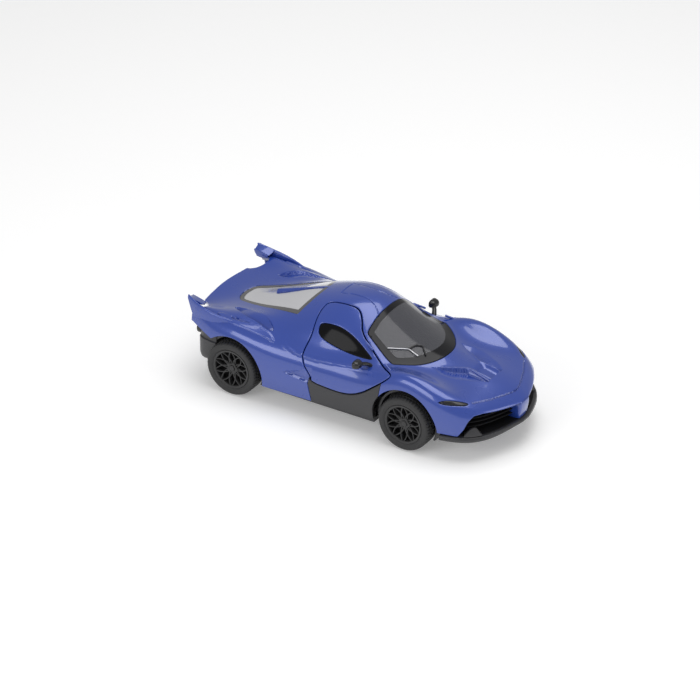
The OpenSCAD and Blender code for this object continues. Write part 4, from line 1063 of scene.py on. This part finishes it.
fin_rows = []
for x, y, top, foot, thick in ((-44.5, 24.2, 29.0, 27.5, 0.5), (-47, 24.6, 29.7, 27.2, 0.8),
    (-50, 25.2, 30.2, 27, 1.0),
                               (-53, 25.5, 30.75, 26.6, 1.1), (-56, 25.4, 31.4, 26.2, 1.1),
                               (-59, 25.0, 32.1, 25.6, 1.1), (-61, 24.6, 32.7, 25.4, 1.1),
                               (-62.2, 24.2, 33.1, 27.0, 1.05), (-63.4, 23.9, 33.5, 29.6, 1.0),
                               (-64.3, 23.6, 33.8, 31.6, 0.9), (-64.9, 23.4, 33.9, 32.6, 0.7)):
    fin_rows.append(blade_section(x, y, top, foot, thick, -0.25))
fin = swept("left_fin_blade", fin_rows, paint, "car", crease=50)
wing_rows = []
for y, lead, trail, z in ((24.0, -58.2, -64.8, 32.8), (22.8, -58.3, -64.8, 32.5),
    (21.6, -58.6, -64.7, 32.15),
                          (20.9, -58.9, -64.5, 31.95)):
    mid = (lead + trail) / 2
    wing_rows.append([(lead, y, z - 0.9), (lead - 0.8, y, z - 0.35), (mid, y, z + 0.1),
        (trail + 0.4, y, z + 0.75),
                      (trail, y, z + 0.6), (trail + 0.4, y, z + 0.2), (mid, y, z - 0.55),
                      (lead - 0.4, y, z - 1.15)])
wing = swept("wing", wing_rows, paint, "car", crease=40)
plate_rows = []
for y in (20.45, 20.55, 21.0, 21.1):
    k = 0.25 if y in (20.45, 21.1) else 0
    plate_rows.append([(-58.8 - k, y, 31.3 - k), (-61.5, y, 32 - k), (-64.5 + k, y, 32.7 - k),
        (-65.0 + k, y, 32.4 - k),
                       (-64.5 + k, y, 31), (-63.6 + k, y, 29.8 + k), (-61.5, y, 29.6 + k),
                       (-59.4 - k, y, 30 + k)])
plate = swept("plate", plate_rows, paint, "car", crease=40)
fin = joined("left_fin", [fin, wing, plate])
mirrored(fin, "right_fin")
print("fins of", len(fin_rows), "sections")

# %% [markdown]
# ## Black mouldings at the front and rear
#
# The lower front is one black moulding: a splitter lip, then the walls and slats of the
# intakes behind it. It follows the plan of the body's own lower edge, so that plan is read off
# the skin, and profiles are carried along it.

# %% The plan of the lower front
FRONT_START = 44.6


def front_plan():
    """The skin's line above the sill, from the wheel arch to the nose, then to the centre."""
    uv = np.array([[u, 8.0] for u in np.linspace(12.5, SPANS_U, 200)])
    p = on_body(uv)[0]
    p = p[p[:, 0] > FRONT_START][:, :2]
    nose = [[65.0, y] for y in (1.9, 1.0, 0.0)]
    line = np.concatenate([p, nose])
    step = np.r_[0, np.cumsum(np.linalg.norm(np.diff(line, axis=0), axis=1))]
    even = np.linspace(0, step[-1], 60)
    half = np.stack([np.interp(even, step, line[:, 0]), np.interp(even, step, line[:, 1])], 1)
    return np.concatenate([half, (half * [1, -1])[-2::-1]])


PLAN = front_plan()
PULL = np.array([40.0, 0.0])


def inset(point, distance):
    """Moves a plan point towards the middle of the nose by that distance."""
    way = PULL - point
    return point + way / np.linalg.norm(way) * distance


def raised_middle(y, z):
    """The lip rises towards the middle of the nose, its lower edge more than its upper one."""
    return smooth((19 - abs(y)) / 19) * np.interp(z, [8.4, 10.6, 12.5], [1.7, 0.8, 0])


def carried(name, profile, material, x_from, crease=35):
    """Carries a closed profile of (inset, z) along the plan, ahead of x_from."""
    line = PLAN[PLAN[:, 0] > x_from]
    rows = []
    for point in line:
        row = []
        for distance, z in profile:
            q = inset(point, distance)
            row.append((q[0], q[1], z + raised_middle(q[1], z)))
        rows.append(row)
    return swept(name, rows, material, "car", crease=crease)


lip_profile = [(7, 8.5), (2, 8.4), (0.5, 8.4), (-0.1, 8.6), (-0.3, 8.95), (-0.32, 9.4), (-0.2, 9.95),
    (0.1, 10.3),
               (0.5, 10.42), (1.6, 10.5), (7, 10.6)]
lip = carried("lip", lip_profile, satin_black, FRONT_START)
# The intake walls and slats take the near-black finish: painted shade for the hollows behind the lip.
wall_profile = [(1.0, 10.3), (1.1, 10.75), (6.2, 10.9), (6.4, 18.2), (7.0, 18.2), (7.0, 10.3)]
intake = carried("intake", wall_profile, painted_shade_black, 52.8)
slats = [carried("slat", [(3.3, z), (3.2, z + 0.25), (3.4, z + 0.45), (6.4, z + 0.6), (6.4, z - 0.1)],
                 painted_shade_black, 54.2) for z in (13.2, 14.9, 16.5)]
lower = joined("lower_front_moulding", [lip, intake] + slats)
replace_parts(lower, "front_bumper")
print("plan of", len(PLAN), "points, lip and intakes")

# %% Corner vanes
vane_at = PLAN[(PLAN[:, 1] > 0) & (PLAN[:, 0] > 53.4) & (PLAN[:, 0] < 58.4)]
vane_rows = []
for k, point in enumerate(vane_at):
    t = k / (len(vane_at) - 1)
    rise = 2.5 * math.sin(math.pi * min(t * 1.7, 1) / 2) * (1 - smooth((t - 0.62) / 0.38)) + 0.25
    low, high_edge = inset(point, 0.25), inset(point, 0.25 + 0.45 * rise)
    deep = inset(point, 2.4)
    vane_rows.append([(low[0], low[1], 10.75), (low[0], low[1], 11.05),
        (high_edge[0], high_edge[1], 11.0 + rise),
                      (deep[0], deep[1], 10.9 + rise), (deep[0], deep[1], 10.75)])
vane = swept("left_corner_vane", vane_rows, grey_plastic, "car", crease=25)
mirrored(vane, "right_corner_vane")
print("vanes of", len(vane_rows), "sections")

# %% [markdown]
# ## The tail
#
# Below the deck a black moulding closes the rear. Its plan wraps from wheel arch to wheel arch,
# its face is ribbed from side to side, and a diffuser with fins finishes it. Two round lamps
# and two pipes are set into it.

# %% The rear moulding
rear_corner = [[-52.4, 24.9], [-54, 24.85], [-56, 24.6], [-58, 24.2], [-59.6, 23.6], [-60.8, 22.5],
    [-61.4, 21.0]]
rear_line = np.array(rear_corner + [[-61.5 - 0.25 * math.cos(math.pi * y / 42), y]
                                    for y in np.linspace(20, 0, 21)])
REAR_PLAN = np.concatenate([rear_line, (rear_line * [1, -1])[-2::-1]])
REAR_PULL = np.array([-44.0, 0.0])
rib_profile = [(3.4, 9.4), (1.1, 9.4), (0.45, 9.7), (0.3, 10.3)]
for z in (11.2, 12.9, 14.6, 16.3):
    rib_profile += [(0.3, z), (0.0, z + 0.25), (0.0, z + 1.0), (0.32, z + 1.2), (0.5, z + 1.35)]
rib_profile += [(0.6, 18.0), (0.75, 22.2), (3.4, 22.4)]


def rear_rows(profile, low_at_arch=True):
    rows = []
    for point in REAR_PLAN:
        way = REAR_PULL - point
        way = way / np.linalg.norm(way)
        edge = smooth((point[0] + 57.5) / 6) if low_at_arch else 0
        flat = smooth((abs(point[1]) - 19.5) / 2.5)
        ribs = [(d + (0.1 - d) * flat if 10.5 < z < 18 else d, z) for d, z in profile]
        rows.append([(point[0] + way[0] * d, point[1] + way[1] * d,
                      min(z, 23.0 - 2.9 * edge) + (0 if z > 12 else 1.6 * edge)) for d, z in ribs])
    return rows


rear = swept("ribbed", rear_rows(rib_profile), satin_black, "car", crease=30)
diffuser_rows = [[(-62.0, y, 9.6), (-62.4, y, 9.0), (-62.0, y, 8.4), (-57.5, y, 7.4), (-57.2, y, 8.1),
                  (-58.6, y, 10.4)] for y in np.linspace(-19, 19, 9)]
diffuser = swept("diffuser", diffuser_rows, satin_black, "car", crease=30)
strakes = []
for y in (-15, -9, -3, 3, 9, 15):
    rows = [[(-62.4, y + w, 9.2), (-62.9, y + w, 8.4), (-62.4, y + w, 6.6), (-58.0, y + w, 6.4),
        (-57.4, y + w, 8.0)]
            for w in (-0.3, -0.22, 0.22, 0.3)]
    strakes.append(swept("strake", rows, satin_black, "car", crease=30))
plate_face = [[(-62.05, y, 18.2), (-62.35, y, 18.5), (-62.35, y, 21.4), (-62.05, y, 21.7), (-61.2, y, 21.7),
               (-61.2, y, 18.2)] for y in np.linspace(-8.5, 8.5, 5)]
recess_frame = swept("plate", plate_face, gloss_black, "car", crease=30)
rear = joined("rear_moulding", [rear, diffuser, recess_frame] + strakes)
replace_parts(rear, "rear_bumper")
print("rear moulding of", len(REAR_PLAN), "sections")

# %% Tail lamps and pipes
LAMP = (-61.0, 19.2, 19.5)
PIPE = (4.6, 13.0)


def turned_x(name, profile, y, z, material, steps=48, crease=35):
    """A profile of (radius, x) turned round a line that runs along the car."""
    rows = [[(x, y + r * math.cos(2 * math.pi * k / steps), z + r * math.sin(2 * math.pi * k / steps))
             for r, x in profile] for k in range(steps)]
    return swept(name, rows, material, "car", closed=True, crease=crease)


for side, word in ((1, "left"), (-1, "right")):
    lens = turned_x("lens", [(0.02, LAMP[0] - 2.1), (0.8, LAMP[0] - 2.05), (1.5, LAMP[0] - 1.85),
        (1.95, LAMP[0] - 1.5),
                             (2.1, LAMP[0] - 1.0), (2.1, LAMP[0] + 0.2), (0.02, LAMP[0] + 0.2)],
                    side * LAMP[1], LAMP[2], red_lens)
    bezel = turned_x("bezel", [(2.12, LAMP[0] + 0.2), (2.12, LAMP[0] - 1.45), (2.25, LAMP[0] - 1.7),
                               (2.4, LAMP[0] - 1.6), (2.45, LAMP[0] - 1.3), (2.45, LAMP[0] + 0.2)],
                     side * LAMP[1], LAMP[2], gloss_black)
    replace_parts(joined("tail_lamp_lens_" + word, [lens, bezel]), "tail_lamp_" + word)
pipes = [turned_x("pipe", [(1.7, -57.0), (1.7, -62.9), (1.62, -63.1), (1.45, -63.1), (1.35, -62.9),
    (1.3, -58.5),
                           (0.02, -58.4), (0.02, -57.0)], side * PIPE[0], PIPE[1],
                           steel) for side in (1, -1)]
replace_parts(joined("exhaust_pipes", pipes), "exhaust_tips")
print("lamps and pipes")

# %% [markdown]
# ## Small parts on the outside
#
# The mirrors are soft wedge-shaped blocks on short curved arms. The wiper is a moulded ridge on
# the windscreen: an arm and a blade that follow the glass a third of a millimetre above it.

# %% Mirrors
def bar(name, path, radius, material, body, steps=12, flat=1.0):
    """A bar of oval section through points, with flat ends."""
    path = [Vector(q) for q in path]
    rows = []
    for k, q in enumerate(path):
        ahead = (path[min(k + 1, len(path) - 1)] - path[max(k - 1, 0)]).normalized()
        side_way = ahead.cross(Vector((0, 0, 1)))
        side_way = side_way.normalized() if side_way.length > 1e-3 else Vector((1, 0, 0))
        top_way = side_way.cross(ahead)
        r = radius[k] if isinstance(radius, (list, tuple)) else radius
        rows.append([tuple(q + side_way * r * math.cos(2 * math.pi * s / steps)
                           + top_way * r * flat * math.sin(2 * math.pi * s / steps)) for s in range(steps)])
    return swept(name, rows, material, body, crease=40)


def mirror_head(name, centre, side):
    """A block with a recessed rear face, smaller towards its front."""
    rows = []
    for dx, hy, hz, dz in ((1.5, 0.5, 0.35, -0.1), (1.35, 1.15, 0.75, -0.08),
        (0.95, 1.65, 1.1, -0.03), (0.3, 2.0, 1.35, 0),
                           (-0.4, 2.2, 1.48, 0), (-1.0, 2.22, 1.5, 0), (-1.3, 2.05, 1.36, 0),
                           (-1.3, 1.8, 1.12, 0),
                           (-1.12, 1.72, 1.06, 0)):
        row = [(centre[0] + dx, side * (centre[1] + y), centre[2] + dz + z)
               for y, z, _ in oval(0, 0, hy, hz, 0, 3.2, 24)]
        rows.append(row)
    return swept(name, rows, gloss_black, DOOR_BODIES[side], crease=45)


for side, word in ((1, "left"), (-1, "right")):
    head = mirror_head("head", (10.3, 26.4, 29.0), side)
    arm = bar("arm", [(13.0, side * 21.6, 26.8), (12.7, side * 22.3, 27.7), (12.2, side * 23.2, 28.3),
                      (11.5, side * 24.2, 28.6), (10.8, side * 25.2, 28.8), (10.4, side * 26.0, 28.9)],
              [1.0, 0.9, 0.85, 0.85, 0.9, 0.9], gloss_black, DOOR_BODIES[side], flat=0.8)
    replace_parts(joined("door_mirror_" + word, [head, arm]), "mirror_" + word)
print("mirrors")

# %% Wiper
def skin_at(x, y, lift):
    """The point of the skin above a plan position, lifted off it."""
    uv = np.array([[np.interp(x, drawn[:, 0, 0], range(SPANS_U + 1)), abs(y) / 4.5]])
    for _ in range(12):
        p, n = on_body(uv)
        step = np.array([[1e-3, 0], [0, 1e-3]])
        du = (on_body(uv + step[:1])[0] - p)[0] / 1e-3
        dv = (on_body(uv + step[1:])[0] - p)[0] / 1e-3
        jac = np.array([[du[0], dv[0]], [du[1], dv[1]]])
        uv = uv + np.linalg.solve(jac, np.array([x, abs(y)]) - p[0, :2])
        uv = np.clip(uv, 0, [SPANS_U, SPANS_V])
    p, n = on_body(uv)
    q = p[0] + n[0] * lift
    return (q[0], math.copysign(q[1], y) if y else 0.0, q[2])


def on_glass(points, lift, count=14):
    line = np.array(points, float)
    step = np.r_[0, np.cumsum(np.linalg.norm(np.diff(line, axis=0), axis=1))]
    even = np.linspace(0, step[-1], count)
    return [skin_at(np.interp(t, step, line[:, 0]), np.interp(t, step, line[:, 1]), lift) for t in even]


wiper_arm = bar("arm", on_glass([(27.4, -7.6), (24.6, -5.2), (22.6, -7), (21.4, -9.6)], 0.25), 0.3,
                gloss_black, "car")
wiper_blade = bar("blade", on_glass([(15.3, -14.2), (18.4, -12.2), (21.6, -9.8),
    (25.4, -9.7)], 0.3, 20), 0.22,
                  steel, "car")
joined("wiper", [wiper_arm, wiper_blade])
print("wiper")

# %% [markdown]
# ## Finishes of the parts that keep their shape
#
# The cabin, the base, the axles and the motor come from the frame as they are, and only take a
# finish.

# %% Finish the frame's own parts
KEPT = {"chassis_base": satin_black, "interior_tub": satin_black, "dashboard": grey_plastic,
        "steering_wheel": gloss_black, "front_axle": steel, "rear_axle": steel, "motor_case": grey_plastic,
        "motor_cover": grey_plastic, "axle_gear": lamp_clear, "idler_gear": lamp_clear, "idler_pin": steel,
        "spring_drum": lamp_clear, "mainspring": steel, "spring_arbor": steel, "base_screws": steel,
        "door_hinge_pins": paint}
for node, material in KEPT.items():
    mesh = frame["nodes"][node].data
    mesh.materials.clear()
    mesh.materials.append(material)
print(len(KEPT), "parts finished")

# %% [markdown]
# ## Floor and light
#
# A product picture of a toy uses a white sweep and large soft lamps. One lamp stands overhead,
# one at the near side and one at the nose, and the white surroundings fill in the rest, which gives paint its long soft
# highlights.

# %% Floor, lamps and surroundings
floor = mesh_object("floor", [(-3000, -3000, 0), (3000, -3000, 0), (3000, 3000, 0), (-3000, 3000, 0)],
                    [(0, 1, 2, 3)], finish("white paper", (0.9, 0.9, 0.9), 0.7, spread=0.01,
                                           Emission_Color=(1, 1, 1, 1), Emission_Strength=0.2))
floor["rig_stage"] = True


def soft_lamp(name, position, target, width, height, power):
    light = bpy.data.lights.new(name, "AREA")
    light.shape, light.size, light.size_y, light.energy = "RECTANGLE", width, height, power
    lamp = bpy.data.objects.new(name, light)
    lamp.location = position
    lamp.rotation_euler = (Vector(target) - Vector(position)).to_track_quat("-Z", "Y").to_euler()
    bpy.context.scene.collection.objects.link(lamp)


soft_lamp("overhead", (0.05, 0.05, 0.55), (0, 0, 0.02), 0.5, 0.35, 1.5)
soft_lamp("key", (-0.15, -0.65, 0.36), (0, 0, 0.02), 0.45, 0.3, 1.3)
soft_lamp("fill", (0.75, 0.1, 0.3), (0, 0, 0.02), 0.3, 0.3, 0.7)
world = bpy.data.worlds.new("white room")
bpy.context.scene.world = world
world.use_nodes = True
world.node_tree.nodes["Background"].inputs["Color"].default_value = (1, 1, 1, 1)
world.node_tree.nodes["Background"].inputs["Strength"].default_value = 0.45
bpy.context.scene.view_settings.view_transform = "Standard"
print("3 lamps in a white room")

# %% Sizes, and the end
low, high_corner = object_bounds()
print("visual box", [round(c * 1000, 2) for c in (*low, *high_corner)])
